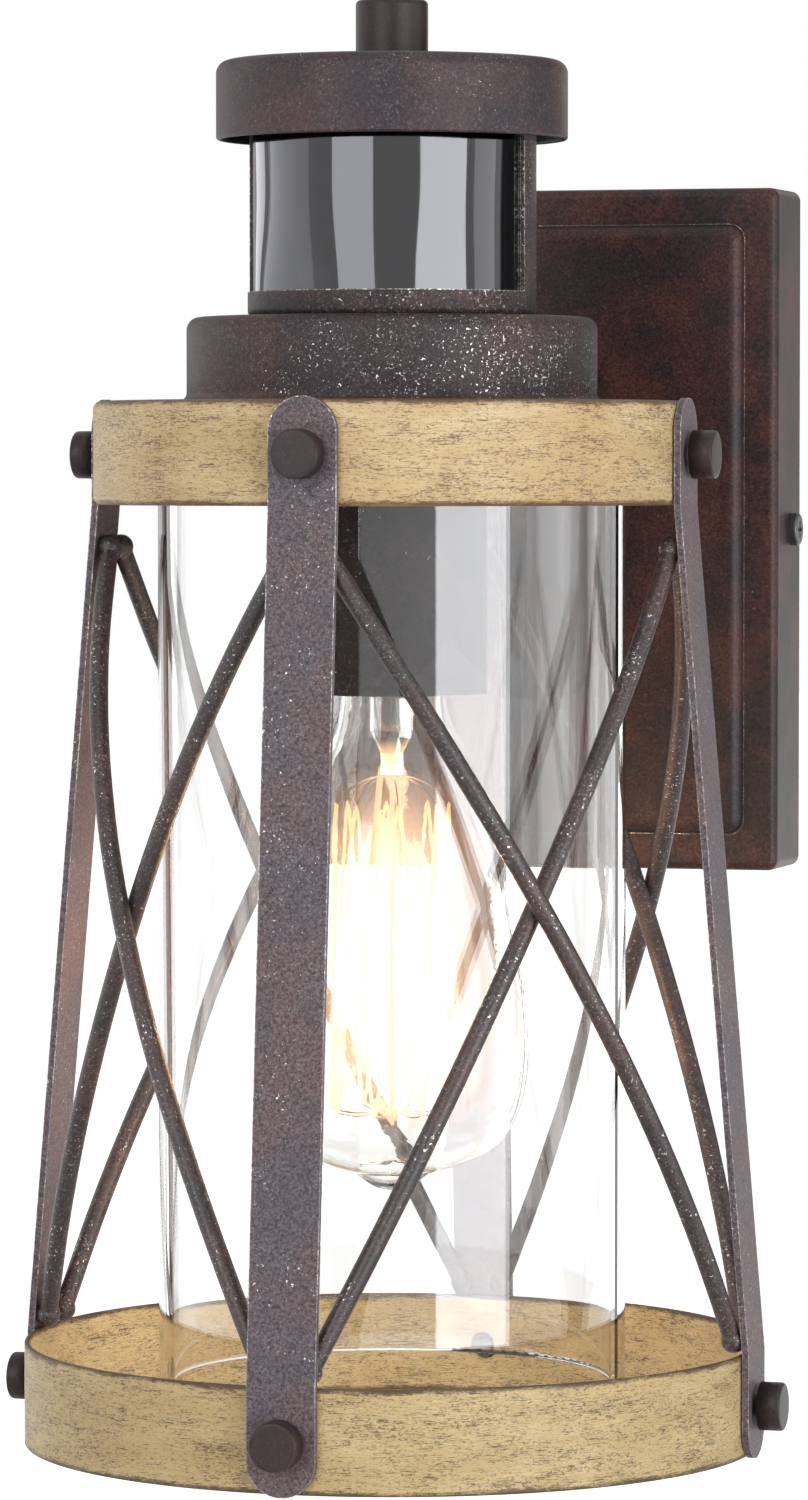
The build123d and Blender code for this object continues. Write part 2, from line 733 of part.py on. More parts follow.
holder_roof = contact_level + contact_height + seat_gap
with BuildPart() as lamp_holder:
    with BuildSketch(level_plane(holder_bottom)):
        Circle(holder_radius)
    extrude(amount=holder_top - holder_bottom)
    fillet(lamp_holder.edges().group_by(Axis.Z)[-1], cup_round)
    with BuildSketch(level_plane(holder_bottom)):
        Circle(screw_shell_radius + seat_gap)
    extrude(amount=holder_roof - holder_bottom, mode=Mode.SUBTRACT)
    with BuildSketch(level_plane(pipe_bottom - seat_gap)):
        Circle(pipe_radius + running_gap)
    extrude(amount=2 * pipe_engagement, mode=Mode.SUBTRACT)
lamp_holder.part.label = "lamp_holder"
export_step(lamp_holder.part, "parts/lamp_holder.step")

with BuildPart() as screw_shell:
    with BuildSketch(level_plane(screw_shell_top - shell_length)):
        Circle(screw_shell_radius)
        Circle(screw_shell_bore, mode=Mode.SUBTRACT)
    extrude(amount=shell_length)
screw_shell.part.label = "screw_shell"
export_step(screw_shell.part, "parts/screw_shell.step")

with BuildPart() as centre_contact:
    with BuildSketch(level_plane(contact_level + seat_gap)):
        Circle(contact_radius)
    extrude(amount=contact_height - seat_gap)
    chamfer(centre_contact.edges().group_by(Axis.Z)[0], contact_chamfer)
centre_contact.part.label = "centre_contact"
export_step(centre_contact.part, "parts/centre_contact.step")

# ============================================ lamp =============================================
base_top = contact_level - tip_height - insulator_height
base_bottom = base_top - base_length

with BuildPart() as bulb_contact_tip:
    with BuildSketch(level_plane(contact_level - tip_height + seat_gap)):
        Circle(tip_radius)
    extrude(amount=tip_height - seat_gap)
    fillet(bulb_contact_tip.edges().group_by(Axis.Z)[-1], tip_height / 2)
bulb_contact_tip.part.label = "bulb_contact_tip"
export_step(bulb_contact_tip.part, "parts/bulb_contact_tip.step")

with BuildPart() as bulb_insulator:
    with BuildSketch(level_plane(base_top + seat_gap)):
        Circle(insulator_radius)
    with BuildSketch(level_plane(base_top + insulator_height)):
        Circle(tip_radius)
    loft()
bulb_insulator.part.label = "bulb_insulator"
export_step(bulb_insulator.part, "parts/bulb_insulator.step")

# The screw base is a thin shell with rounded thread crests; its closed top carries the insulator.
thread_core = base_radius - base_thread_round
crest_count = int(base_length / base_thread_pitch) - 1
with BuildPart() as bulb_base_shell:
    with BuildSketch(level_plane(base_bottom)):
        Circle(thread_core)
    extrude(amount=base_length)
    crest_levels = [base_bottom + base_thread_pitch * (turn + 1) for turn in range(crest_count)]
    with Locations([(0, -axis_reach, level) for level in crest_levels]):
        Torus(base_radius - base_crest_radius, base_crest_radius)
    fillet(bulb_base_shell.edges().group_by(Axis.Z)[-1], base_thread_round)
    with BuildSketch(level_plane(base_bottom)):
        Circle(neck_radius - base_sheet)
    extrude(amount=base_length - base_sheet, mode=Mode.SUBTRACT)
bulb_base_shell.part.label = "bulb_base_shell"
export_step(bulb_base_shell.part, "parts/bulb_base_shell.step")


def lamp_outline(inset):
    """Half outline of the lamp's glass, drawn in by the inset: neck, long taper, round end, nipple."""
    return [
        (neck_radius - base_sheet - seat_gap - inset, base_bottom + neck_inside),
        (neck_radius - base_sheet - seat_gap - inset, base_bottom - seat_gap),
        (lamp_shoulder_radius - inset, base_bottom - lamp_shoulder_drop),
        (lamp_waist_radius - inset, base_bottom - lamp_waist_drop),
        (lamp_radius - inset, lamp_widest_level),
        (lamp_crown_radius - inset, lamp_tip_level + lamp_crown_rise + inset),
        (lamp_nipple_radius - inset, lamp_tip_level + lamp_nipple_rise + inset),
    ]


with BuildPart() as bulb_glass:
    for inset, tip_rise, mode in ((0, 0, Mode.ADD), (lamp_glass, lamp_tip_thick, Mode.SUBTRACT)):
        outline = lamp_outline(inset)
        tip = (0, lamp_tip_level + tip_rise)
        with BuildSketch(half_section):
            with BuildLine():
                Line(outline[0], outline[1])
                Spline(outline[1:], tangents=[(0, -1), (-1, -0.2)])
                Spline(outline[-1], tip, tangents=[(-1, -0.7), (-1, 0)])
                Polyline(tip, (0, outline[0][1]), outline[0])
            make_face()
        revolve(axis=lantern_axis, mode=mode)
bulb_glass.part.label = "bulb_glass"
export_step(bulb_glass.part, "parts/bulb_glass.step")

stem_flare = neck_radius - base_sheet - lamp_glass - 3 * seat_gap
stem_top = base_bottom + neck_inside
stem_bottom = stem_top - stem_length
with BuildPart() as bulb_stem:
    with BuildSketch(half_section):
        with BuildLine():
            Polyline(
                (0, stem_top),
                (stem_flare, stem_top),
                (stem_flare, stem_top - stem_rim),
                (stem_radius, stem_top - stem_flare_drop),
                (stem_radius, stem_bottom + stem_press_length + stem_taper_length),
                (stem_tip_radius, stem_bottom + stem_press_length),
                (stem_tip_radius, stem_bottom),
                (0, stem_bottom),
                close=True,
            )
        make_face()
    revolve(axis=lantern_axis)
bulb_stem.part.label = "bulb_stem"
export_step(bulb_stem.part, "parts/bulb_stem.step")

filament_top = contact_level - filament_top_drop
filament_bottom = filament_top - filament_height


def filament_corner(step):
    """Corner of the zigzag: even steps are top hooks, odd steps are bottom hooks."""
    direction = 2 * pi * step / (2 * filament_loops)
    radius = filament_bottom_radius if step % 2 else filament_top_radius
    height = filament_bottom if step % 2 else filament_top
    return Vector(radius * sin(direction), -axis_reach - radius * cos(direction), height)


with BuildPart() as bulb_filament:
    for step in range(2 * filament_loops):
        start = filament_corner(step)
        stop = filament_corner(step + 1)
        with BuildSketch(Plane(origin=start, z_dir=stop - start)):
            Circle(filament_wire)
        extrude(amount=(stop - start).length)
        with Locations(start):
            Sphere(filament_wire)
bulb_filament.part.label = "bulb_filament"
export_step(bulb_filament.part, "parts/bulb_filament.step")

rod_end = filament_bottom - support_overhang
with BuildPart() as bulb_supports:
    with BuildSketch(level_plane(rod_end)):
        Circle(support_rod)
    extrude(amount=stem_bottom - seat_gap - rod_end)
    for step in range(2 * filament_loops):
        corner = filament_corner(step)
        root = Vector(0, -axis_reach, corner.Z)
        with BuildSketch(Plane(origin=root, z_dir=corner - root)):
            Circle(support_wire)
        extrude(amount=(corner - root).length - filament_wire - running_gap)
bulb_supports.part.label = "bulb_supports"
export_step(bulb_supports.part, "parts/bulb_supports.step")

# ========================================= sensor head =========================================
def slice_points(half_angle, radius):
    """Ends and middle of an arc round the front, in a level plane."""
    edge = radians(half_angle)
    return (
        (-radius * sin(edge), -radius * cos(edge)),
        (0, -radius),
        (radius * sin(edge), -radius * cos(edge)),
    )


with BuildPart() as sensor_drum:
    with BuildSketch(half_section):
        with BuildLine():
            FilletPolyline(
                (pipe_radius + running_gap, collar_top + seat_gap),
                (drum_radius, collar_top + seat_gap),
                (drum_radius, drum_top),
                radius=[drum_floor_round],
            )
            offset(amount=drum_sheet, side=Side.LEFT)
        make_face()
    revolve(axis=lantern_axis)
    with BuildSketch(level_plane(collar_top + window_sill)):
        with BuildLine():
            left_end, front, right_end = slice_points(window_half_angle, 2 * drum_radius)
            ThreePointArc(left_end, front, right_end)
            Polyline(right_end, (0, 0), left_end)
        make_face()
    extrude(amount=window_height, mode=Mode.SUBTRACT)
sensor_drum.part.label = "sensor_drum"
export_step(sensor_drum.part, "parts/sensor_drum.step")

lid_bottom = drum_top - chassis_lid
base_floor = drum_floor_top + seat_gap
base_deck = base_floor + chassis_base
with BuildPart() as sensor_cover:
    with BuildSketch(level_plane(base_floor)):
        Circle(cover_radius)
        Circle(cover_radius - cover_wall, mode=Mode.SUBTRACT)
    extrude(amount=lid_bottom - seat_gap - base_floor)
    fillet(sensor_cover.edges().group_by(Axis.Z)[0].sort_by(SortBy.LENGTH)[-1], drum_floor_round - drum_sheet)
sensor_cover.part.label = "sensor_cover"
export_step(sensor_cover.part, "parts/sensor_cover.step")

with BuildPart() as sensor_lens:
    with BuildSketch(level_plane(base_deck + seat_gap)):
        Circle(lens_radius)
        Circle(lens_radius - lens_wall, mode=Mode.SUBTRACT)
        with BuildLine():
            left_end, front, right_end = slice_points(lens_half_angle, 2 * lens_radius)
            ThreePointArc(left_end, front, right_end)
            Polyline(right_end, (0, 0), left_end)
        make_face(mode=Mode.INTERSECT)
    extrude(amount=lid_bottom - base_deck - 2 * seat_gap)
sensor_lens.part.label = "sensor_lens"
export_step(sensor_lens.part, "parts/sensor_lens.step")

# The chassis is one moulding: a base ring, a back wall behind the lens and the lid with the dials.
back_wall_half_angle = lens_half_angle + chassis_overlap
dial_places = [
    (dial_circle * sin(radians(side * dial_spread / 2)), -dial_circle * cos(radians(dial_spread / 2)))
    for side in (-1, 1)
]
with BuildPart() as sensor_chassis:
    with BuildSketch(level_plane(base_floor)):
        Circle(cover_radius - cover_wall - cover_gap)
        Circle(chassis_bore, mode=Mode.SUBTRACT)
    extrude(amount=chassis_base)
    with BuildSketch(level_plane(base_deck)):
        Circle(lens_radius)
        Circle(lens_radius - chassis_wall, mode=Mode.SUBTRACT)
        with BuildLine():
            left_end, front, right_end = slice_points(back_wall_half_angle, 2 * lens_radius)
            ThreePointArc(left_end, front, right_end)
            Polyline(right_end, (0, 0), left_end)
        make_face(mode=Mode.SUBTRACT)
    extrude(amount=lid_bottom - base_deck)
    with BuildSketch(level_plane(lid_bottom)):
        Circle(cover_radius)
        Circle(stud_radius + running_gap, mode=Mode.SUBTRACT)
        with Locations(*dial_places):
            Circle(dial_spindle + running_gap, mode=Mode.SUBTRACT)
    extrude(amount=chassis_lid)
sensor_chassis.part.label = "sensor_chassis"
export_step(sensor_chassis.part, "parts/sensor_chassis.step")

board_front = -axis_reach + board_offset
board_bottom = base_deck + seat_gap
board_middle = board_bottom + board_height / 2
with BuildPart() as circuit_board:
    with BuildSketch(Plane.XZ.offset(-board_front - board_sheet)):
        with Locations((0, board_middle)):
            RectangleRounded(board_width, board_height, board_corner)
    extrude(amount=board_sheet)
circuit_board.part.label = "circuit_board"
export_step(circuit_board.part, "parts/circuit_board.step")

with BuildPart() as pir_detectors:
    with BuildSketch(Plane.XZ.offset(-board_front + seat_gap)):
        with Locations((0, board_middle)):
            with GridLocations(detector_spacing, 1, 2, 1):
                Circle(detector_radius)
    extrude(amount=detector_height)
    fillet(pir_detectors.edges().group_by(Axis.Y)[0], detector_round)
pir_detectors.part.label = "pir_detectors"
export_step(pir_detectors.part, "parts/pir_detectors.step")

with BuildPart() as photocell:
    with BuildSketch(Plane.XZ.offset(-board_front + seat_gap)):
        with Locations((0, board_middle + photocell_rise)):
            Circle(photocell_radius)
    extrude(amount=photocell_height)
photocell.part.label = "photocell"
export_step(photocell.part, "parts/photocell.step")

with BuildPart() as relay:
    with BuildSketch(Plane.XZ.offset(-board_front - board_sheet - seat_gap - relay_size[1])):
        with Locations((0, board_middle)):
            Rectangle(relay_size[0], relay_size[2])
    extrude(amount=relay_size[1])
    fillet(relay.edges().filter_by(Axis.Y), relay_round)
relay.part.label = "relay"
export_step(relay.part, "parts/relay.step")

for dial_name, place in zip(("time", "dusk"), dial_places):
    with BuildPart() as dial:
        with BuildSketch(level_plane(lid_bottom)):
            with Locations(place):
                Circle(dial_spindle)
        extrude(amount=chassis_lid + dial_lift)
        with BuildSketch(level_plane(drum_top + dial_lift)):
            with Locations(place):
                Circle(dial_radius)
        extrude(amount=dial_height)
        fillet(dial.edges().group_by(Axis.Z)[-1], dial_round)
        with BuildSketch(level_plane(drum_top + dial_lift + dial_height - cross_slot)):
            with Locations(place):
                Rectangle(cross_slot, dial_slot_length)
        extrude(amount=cross_slot, mode=Mode.SUBTRACT)
    dial.part.label = f"{dial_name}_dial"
    export_step(dial.part, f"parts/{dial_name}_dial.step")

stud_top = finial_bottom + stud_grip
with BuildPart() as top_stud:
    with BuildSketch(level_plane(lid_bottom - stud_radius)):
        Circle(stud_radius)
    extrude(amount=stud_top - lid_bottom + stud_radius)
    chamfer(top_stud.edges().group_by(Axis.Z)[-1], stud_chamfer)
    with BuildSketch(level_plane(drum_top + seat_gap)):
        RegularPolygon(stud_shoulder_radius, 6)
    extrude(amount=cap_head_room - 2 * seat_gap)
top_stud.part.label = "top_stud"
export_step(top_stud.part, "parts/top_stud.step")

# ======================================= cap and finial ========================================
with BuildPart() as cap:
    with BuildSketch(half_section):
        with BuildLine():
            FilletPolyline(
                (stud_radius + screw_hole_gap, cap_top),
                (cap_radius, cap_top),
                (cap_radius, cap_top - cap_height),
                radius=[cap_round],
            )
            offset(amount=cap_sheet, side=Side.RIGHT)
        make_face()
    revolve(axis=lantern_axis)
    fillet(cap.edges().group_by(Axis.Z)[0], cap_lower_round)
cap.part.label = "cap"
export_step(cap.part, "parts/cap.step")

with BuildPart() as finial_washer:
    with BuildSketch(level_plane(cap_top + seat_gap)):
        Circle(finial_washer_radius)
        Circle(stud_radius + running_gap, mode=Mode.SUBTRACT)
    extrude(amount=finial_washer_sheet)
finial_washer.part.label = "finial_washer"
export_step(finial_washer.part, "parts/finial_washer.step")

with BuildPart() as finial:
    with BuildSketch(level_plane(finial_bottom)):
        Circle(finial_radius)
    extrude(amount=finial_height)
    fillet(finial.edges().group_by(Axis.Z)[-1], finial_round)
    chamfer(finial.edges().group_by(Axis.Z)[0], finial_chamfer)
    with BuildSketch(level_plane(finial_bottom)):
        Circle(stud_radius + running_gap)
    extrude(amount=stud_grip + 2 * seat_gap, mode=Mode.SUBTRACT)
finial.part.label = "finial"
export_step(finial.part, "parts/finial.step")
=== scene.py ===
# %% [markdown]
# # An outdoor wall lantern, dressed for its portrait
#
# The lantern arrives as a packed assembly: every strap, rod, nut and pane is already a solid of
# the right size in the right place. This lesson gives those solids their finishes, replaces a few
# of them with livelier shapes, and then lights and frames the whole thing.
#
# The frame is loaded first, because every later piece takes its place from it.

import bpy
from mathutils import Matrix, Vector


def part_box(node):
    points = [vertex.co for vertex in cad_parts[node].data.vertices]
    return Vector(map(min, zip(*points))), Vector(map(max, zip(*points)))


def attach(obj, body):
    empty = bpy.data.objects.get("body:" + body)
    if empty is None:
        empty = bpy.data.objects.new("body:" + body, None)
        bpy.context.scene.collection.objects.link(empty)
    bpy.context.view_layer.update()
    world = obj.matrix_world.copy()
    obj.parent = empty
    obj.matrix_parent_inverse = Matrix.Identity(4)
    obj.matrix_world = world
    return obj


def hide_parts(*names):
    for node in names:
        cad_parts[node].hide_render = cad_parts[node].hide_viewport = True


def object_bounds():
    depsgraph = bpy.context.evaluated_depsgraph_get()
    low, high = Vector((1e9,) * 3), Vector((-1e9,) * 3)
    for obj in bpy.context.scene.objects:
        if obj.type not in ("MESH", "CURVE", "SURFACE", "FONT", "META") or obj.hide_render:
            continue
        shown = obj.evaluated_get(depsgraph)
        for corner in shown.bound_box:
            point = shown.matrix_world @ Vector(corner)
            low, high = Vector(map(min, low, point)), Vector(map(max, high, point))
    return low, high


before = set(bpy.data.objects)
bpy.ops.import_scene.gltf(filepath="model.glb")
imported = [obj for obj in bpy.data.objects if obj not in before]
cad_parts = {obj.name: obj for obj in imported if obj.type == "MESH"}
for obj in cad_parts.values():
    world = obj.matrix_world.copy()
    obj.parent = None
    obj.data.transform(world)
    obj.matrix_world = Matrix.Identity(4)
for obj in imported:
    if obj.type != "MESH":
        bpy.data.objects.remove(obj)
cad_low, cad_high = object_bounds()
print("The lantern spans", [round(side, 4) for side in cad_high - cad_low], "metres")

# %% [markdown]
# Everything below needs a few ordinary modules, and millimetres are easier to read than metres
# on something this small, so `mm` turns one into the other.

# %% Modules and units
from math import asin, cos, pi, radians, sin

import bpy
from mathutils import Vector

mm = 0.001

# %% [markdown]
# The lantern hangs round a vertical axis that stands well clear of the wall. The glass cylinder
# is round and true, so the middle of its box is that axis.

# %% Find the lantern's own axis
glass_low, glass_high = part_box("glass_cylinder")
axis = (glass_low + glass_high) / 2
axis.z = 0.0
print("The axis stands", round(-axis.y / mm, 1), "mm from the wall")


# %% [markdown]
# ## The camera
#
# The view is from a little to the right of straight ahead, with a long lens from about one and a
# half metres. The height is close to the lantern's middle, so the bands show as thin ellipses.
# A camera is placed by its bearing round the axis, which is how a photographer walks round a
# subject, and then turned with three Euler angles.

# %% Set the camera up
def round_axis(bearing, distance, level):
    """A point at a bearing in degrees from the front, seen from above, towards the right."""
    turn = radians(bearing)
    return Vector((axis.x + distance * sin(turn), axis.y - distance * cos(turn), level))


camera_bearing = 16.38
camera_distance = 1518.6 * mm
camera_level = 15.3 * mm
camera_pitch = 2.473
camera_yaw = -0.105
lens_length = 156.69     # both in millimetres, as the camera takes them
sensor_width = 36.0

camera_data = bpy.data.cameras.new("portrait_lens")
camera_data.lens = lens_length
camera_data.sensor_width = sensor_width
camera = bpy.data.objects.new("portrait_camera", camera_data)
camera.location = round_axis(camera_bearing, camera_distance, camera_level)
camera.rotation_euler = (
    radians(90 - camera_pitch),
    0.0,
    radians(camera_bearing + camera_yaw),
)
bpy.context.scene.collection.objects.link(camera)
bpy.context.scene.camera = camera
print("The camera stands at", [round(part, 3) for part in camera.location])

# %% [markdown]
# ## The studio
#
# Soft boxes stand round the lantern. Glass, smoked plastic and paint are judged by what they
# reflect, so the boxes are placed by bearing: one to the left of the camera, the main one to its
# right, a dimmer one further round to the right, a broad dim one far to the left, two slim ones
# behind that draw the edges, and one close above. Each is given by its bearing from the camera,
# its width and height, its level and its radiance. The left one stands high, so that most of the
# lower half of the glass stays free of it.

# %% Place the soft boxes
def soft_box(name, bearing, width, height, level, radiance, distance=1.7, tint=(1.0, 1.0, 1.0)):
    """An area lamp that faces the lantern's axis; its power follows from its radiance."""
    lamp = bpy.data.lights.new(name, "AREA")
    lamp.shape = "RECTANGLE"
    lamp.size = width
    lamp.size_y = height
    lamp.color = tint
    lamp.energy = radiance * pi * width * height
    holder = bpy.data.objects.new(name, lamp)
    holder.location = round_axis(camera_bearing + bearing, distance, level)
    aim = Vector((axis.x, axis.y, aim_level)) - holder.location
    holder.rotation_euler = aim.to_track_quat("-Z", "Y").to_euler()
    holder.visible_camera = False
    bpy.context.scene.collection.objects.link(holder)
    return holder


aim_level = -50 * mm
cool_white = (0.95, 0.96, 1.0)
soft_box("box_left", -33, 1.15, 1.02, 0.44, 3.4, tint=cool_white)
soft_box("box_right", 40, 1.15, 0.8, -0.02, 6.0, tint=cool_white)
soft_box("box_side", 82, 0.85, 0.9, 0.1, 1.2)
soft_box("box_far_left", -100, 1.6, 1.2, 0.1, 0.7, tint=cool_white)
soft_box("box_behind_right", 158, 0.5, 1.1, 0.1, 1.4)
soft_box("box_behind_left", -143, 0.5, 1.1, 0.1, 1.2)
soft_box("box_above", 10, 1.2, 1.2, 1.6, 1.0, distance=0.7)
print("Lamps in the studio:", len(bpy.data.lights))

# %% [markdown]
# The world does two jobs. Seen directly, mirrored or looked at through glass it is plain white,
# like a seamless backdrop. For light that falls on the lantern it is a calmer grey, so that the
# soft boxes still shape the forms. The Light Path node tells the two apart. Behind the lantern
# stand a black card on the right and a grey one on the left, as a photographer sets them to give
# a glossy thing dark edges. They are drawn into the world itself, and only mirrors see them: a
# ray that came through slightly hazy glass also counts as glossy, so those are taken out.

# %% Light the world
fill_strength = 0.2
black_card = (143, 37, 0.95)    # its bearing, half its width in degrees and its darkness
grey_card = (-154, 26, 0.6)
card_softness = 2               # degrees

world = bpy.data.worlds.new("seamless_white")
bpy.context.scene.world = world
world.use_nodes = True
sky = world.node_tree
background = sky.nodes["Background"]
background.inputs["Color"].default_value = (1, 1, 1, 1)
path = sky.nodes.new("ShaderNodeLightPath")
seen_or_mirrored = sky.nodes.new("ShaderNodeMath")
seen_or_mirrored.operation = "MAXIMUM"
sky.links.new(path.outputs["Is Camera Ray"], seen_or_mirrored.inputs[0])
sky.links.new(path.outputs["Is Glossy Ray"], seen_or_mirrored.inputs[1])
seen_at_all = sky.nodes.new("ShaderNodeMath")
seen_at_all.operation = "MAXIMUM"
sky.links.new(seen_or_mirrored.outputs[0], seen_at_all.inputs[0])
sky.links.new(path.outputs["Is Transmission Ray"], seen_at_all.inputs[1])
strength = sky.nodes.new("ShaderNodeMapRange")
strength.inputs["To Min"].default_value = fill_strength
strength.inputs["To Max"].default_value = 1.0
sky.links.new(seen_at_all.outputs[0], strength.inputs["Value"])

mirrored = sky.nodes.new("ShaderNodeMath")
mirrored.operation = "SUBTRACT"
mirrored.use_clamp = True
sky.links.new(path.outputs["Is Glossy Ray"], mirrored.inputs[0])
sky.links.new(path.outputs["Is Transmission Ray"], mirrored.inputs[1])
brightness = strength.outputs["Result"]
direction = sky.nodes.new("ShaderNodeTexCoord").outputs["Generated"]
for card_bearing, card_reach, card_darkness in (black_card, grey_card):
    turn = radians(camera_bearing + card_bearing)
    towards_card = sky.nodes.new("ShaderNodeVectorMath")
    towards_card.operation = "DOT_PRODUCT"
    sky.links.new(direction, towards_card.inputs[0])
    towards_card.inputs[1].default_value = (sin(turn), -cos(turn), 0)
    on_card = sky.nodes.new("ShaderNodeMapRange")
    on_card.inputs["From Min"].default_value = cos(radians(card_reach + card_softness))
    on_card.inputs["From Max"].default_value = cos(radians(card_reach - card_softness))
    on_card.inputs["To Max"].default_value = card_darkness
    sky.links.new(towards_card.outputs["Value"], on_card.inputs["Value"])
    mirrored_card = sky.nodes.new("ShaderNodeMath")
    mirrored_card.operation = "MULTIPLY"
    sky.links.new(mirrored.outputs[0], mirrored_card.inputs[0])
    sky.links.new(on_card.outputs["Result"], mirrored_card.inputs[1])
    dimmed = sky.nodes.new("ShaderNodeMath")
    dimmed.operation = "SUBTRACT"
    sky.links.new(brightness, dimmed.inputs[0])
    sky.links.new(mirrored_card.outputs[0], dimmed.inputs[1])
    brightness = dimmed.outputs[0]
sky.links.new(brightness, background.inputs["Strength"])
print("The world is white to look at and grey to be lit by")

# %% [markdown]
# A wall lantern has nothing under it, so the pale floor lies well below and only catches its
# soft shadow. From below the floor is see-through, so that the lantern can be looked at from
# there too.

# %% Lay the floor
floor_drop = 0.25
floor_reach = 12.0
floor_mesh = bpy.data.meshes.new("floor")
floor_level = cad_low.z - floor_drop
corners = [(-1, -1), (1, -1), (1, 1), (-1, 1)]
floor_mesh.from_pydata(
    [(x * floor_reach, y * floor_reach, floor_level) for x, y in corners],
    [],
    [(0, 1, 2, 3)],
)
floor = bpy.data.objects.new("floor", floor_mesh)
bpy.context.scene.collection.objects.link(floor)
print("The floor lies", round(floor_drop / mm), "mm under the lantern")


# %% [markdown]
# ## Helpers for materials
#
# A shader tree is a small machine of boxes and wires. Two helpers keep its code short: `add`
# makes a box and fills its sockets, with a wire where it is given another box's output, and
# `calc` does the same for one step of arithmetic.

# %% Helpers that build shader trees
def add(tree, kind, inputs=None, **settings):
    """A new box in the tree; a value that is a socket is wired in, any other is set."""
    box = tree.nodes.new(kind)
    for name, value in settings.items():
        setattr(box, name, value)
    for name, value in (inputs or {}).items():
        if isinstance(value, bpy.types.NodeSocket):
            tree.links.new(value, box.inputs[name])
        else:
            box.inputs[name].default_value = value
    return box


def calc(tree, operation, *values, clamp=False):
    """One step of arithmetic on sockets or numbers; gives the result's socket."""
    step = add(tree, "ShaderNodeMath", dict(enumerate(values)), operation=operation, use_clamp=clamp)
    return step.outputs[0]


def blend(tree, share, first, second):
    """Two colours mixed by a share from 0 to 1; gives the colour's socket."""
    mixer = add(tree, "ShaderNodeMix", {0: share, 6: first, 7: second}, data_type="RGBA")
    return mixer.outputs[2]


def stretch(tree, value, low, high, to_low=0.0, to_high=1.0):
    """A value moved from one range to another, and held inside it."""
    ranges = {"Value": value, "From Min": low, "From Max": high, "To Min": to_low, "To Max": to_high}
    return add(tree, "ShaderNodeMapRange", ranges).outputs["Result"]


def grain(tree, place, per_metre, detail=2.0, roughness=0.5, squash=(1, 1, 1), curl=0.0):
    """Noise on the object's own coordinates, so many features to the metre along each axis."""
    scaled = add(tree, "ShaderNodeMapping", {"Vector": place, "Scale": squash})
    noise = {"Vector": scaled.outputs[0], "Scale": per_metre, "Detail": detail, "Roughness": roughness}
    noise["Distortion"] = curl
    return add(tree, "ShaderNodeTexNoise", noise).outputs["Fac"]


def painted(name, build):
    """A material whose tree is a Principled shader that `build` fills in."""
    material = bpy.data.materials.new(name)
    material.use_nodes = True
    tree = material.node_tree
    shader = tree.nodes["Principled BSDF"]
    place = tree.nodes.new("ShaderNodeTexCoord").outputs["Object"]
    build(tree, shader, place)
    return material


def colour(red, green, blue):
    """A colour as a painter names it, from 0 to 255, in the linear values that Blender uses."""
    parts = [c / 255 for c in (red, green, blue)]
    linear = [c / 12.92 if c <= 0.04045 else ((c + 0.055) / 1.055) ** 2.4 for c in parts]
    return (*linear, 1.0)


finishes = {}


# %% [markdown]
# The floor is the first material. It is white and matt. What looks at it sees it glow a little,
# more with the distance from the lantern, so that it keeps the soft shadow below and melts into
# the backdrop further out. Its back side is clear.

# %% Paint the floor
floor_glow_start = 450 * mm     # from the axis
floor_glow_end = 1200 * mm


def build_floor(tree, shader, place):
    output = tree.nodes["Material Output"]
    facing = add(tree, "ShaderNodeNewGeometry").outputs["Backfacing"]
    rays = add(tree, "ShaderNodeLightPath")
    seen = calc(tree, "MAXIMUM", rays.outputs["Is Camera Ray"], rays.outputs["Is Glossy Ray"])
    seen = calc(tree, "MAXIMUM", seen, rays.outputs["Is Transmission Ray"])
    away = add(tree, "ShaderNodeVectorMath", {0: place, 1: axis}, operation="DISTANCE")
    glow = stretch(tree, away.outputs["Value"], floor_glow_start, floor_glow_end, 0.25, 0.95)
    cloud = grain(tree, place, 3.0)
    paint = blend(tree, cloud, (0.8, 0.8, 0.8, 1), (0.84, 0.84, 0.84, 1))
    tree.links.new(paint, shader.inputs["Base Color"])
    shader.inputs["Roughness"].default_value = 0.9
    shader.inputs["Specular IOR Level"].default_value = 0.0
    shader.inputs["Emission Color"].default_value = (1, 1, 1, 1)
    tree.links.new(calc(tree, "MULTIPLY", seen, glow), shader.inputs["Emission Strength"])
    clear = add(tree, "ShaderNodeBsdfTransparent")
    sides = add(tree, "ShaderNodeMixShader", {0: facing, 1: shader.outputs[0], 2: clear.outputs[0]})
    tree.links.new(sides.outputs[0], output.inputs["Surface"])


floor_mesh.materials.append(painted("white_floor", build_floor))


# %% [markdown]
# ## Shared effects
#
# The dark finish is a powder coat that was rubbed and flecked by hand, and it is on the wall
# plate, roof, straps, rods and cap alike. What makes it up is used again and again with other
# values, so each effect is a node group: a box made of boxes, with named inputs and outputs.

# %% Start a node group
def new_group(name, inputs, outputs):
    """An empty shader group with float inputs at their defaults; gives tree, input and output box."""
    tree = bpy.data.node_groups.new(name, "ShaderNodeTree")
    tree.interface.new_socket("Vector", in_out="INPUT", socket_type="NodeSocketVector")
    for label, value in inputs.items():
        kind = "NodeSocketColor" if isinstance(value, tuple) else "NodeSocketFloat"
        tree.interface.new_socket(label, in_out="INPUT", socket_type=kind).default_value = value
    for label, kind in outputs.items():
        tree.interface.new_socket(label, in_out="OUTPUT", socket_type=kind)
    return tree, tree.nodes.new("NodeGroupInput"), tree.nodes.new("NodeGroupOutput")


def use_group(tree, group, place, **values):
    """A copy of a shared group in a material's tree."""
    inputs = {"Vector": place}
    inputs.update({label.replace("_", " "): value for label, value in values.items()})
    return add(tree, "ShaderNodeGroup", inputs, node_tree=group)


# %% [markdown]
# The patina is soft-edged: reddish-brown clouds over a purplish dark brown. Over both lies a crisp
# mottle, well under a millimetre across, because the powder was dusted on in two shades and then
# rubbed. Noises of very different size do it.

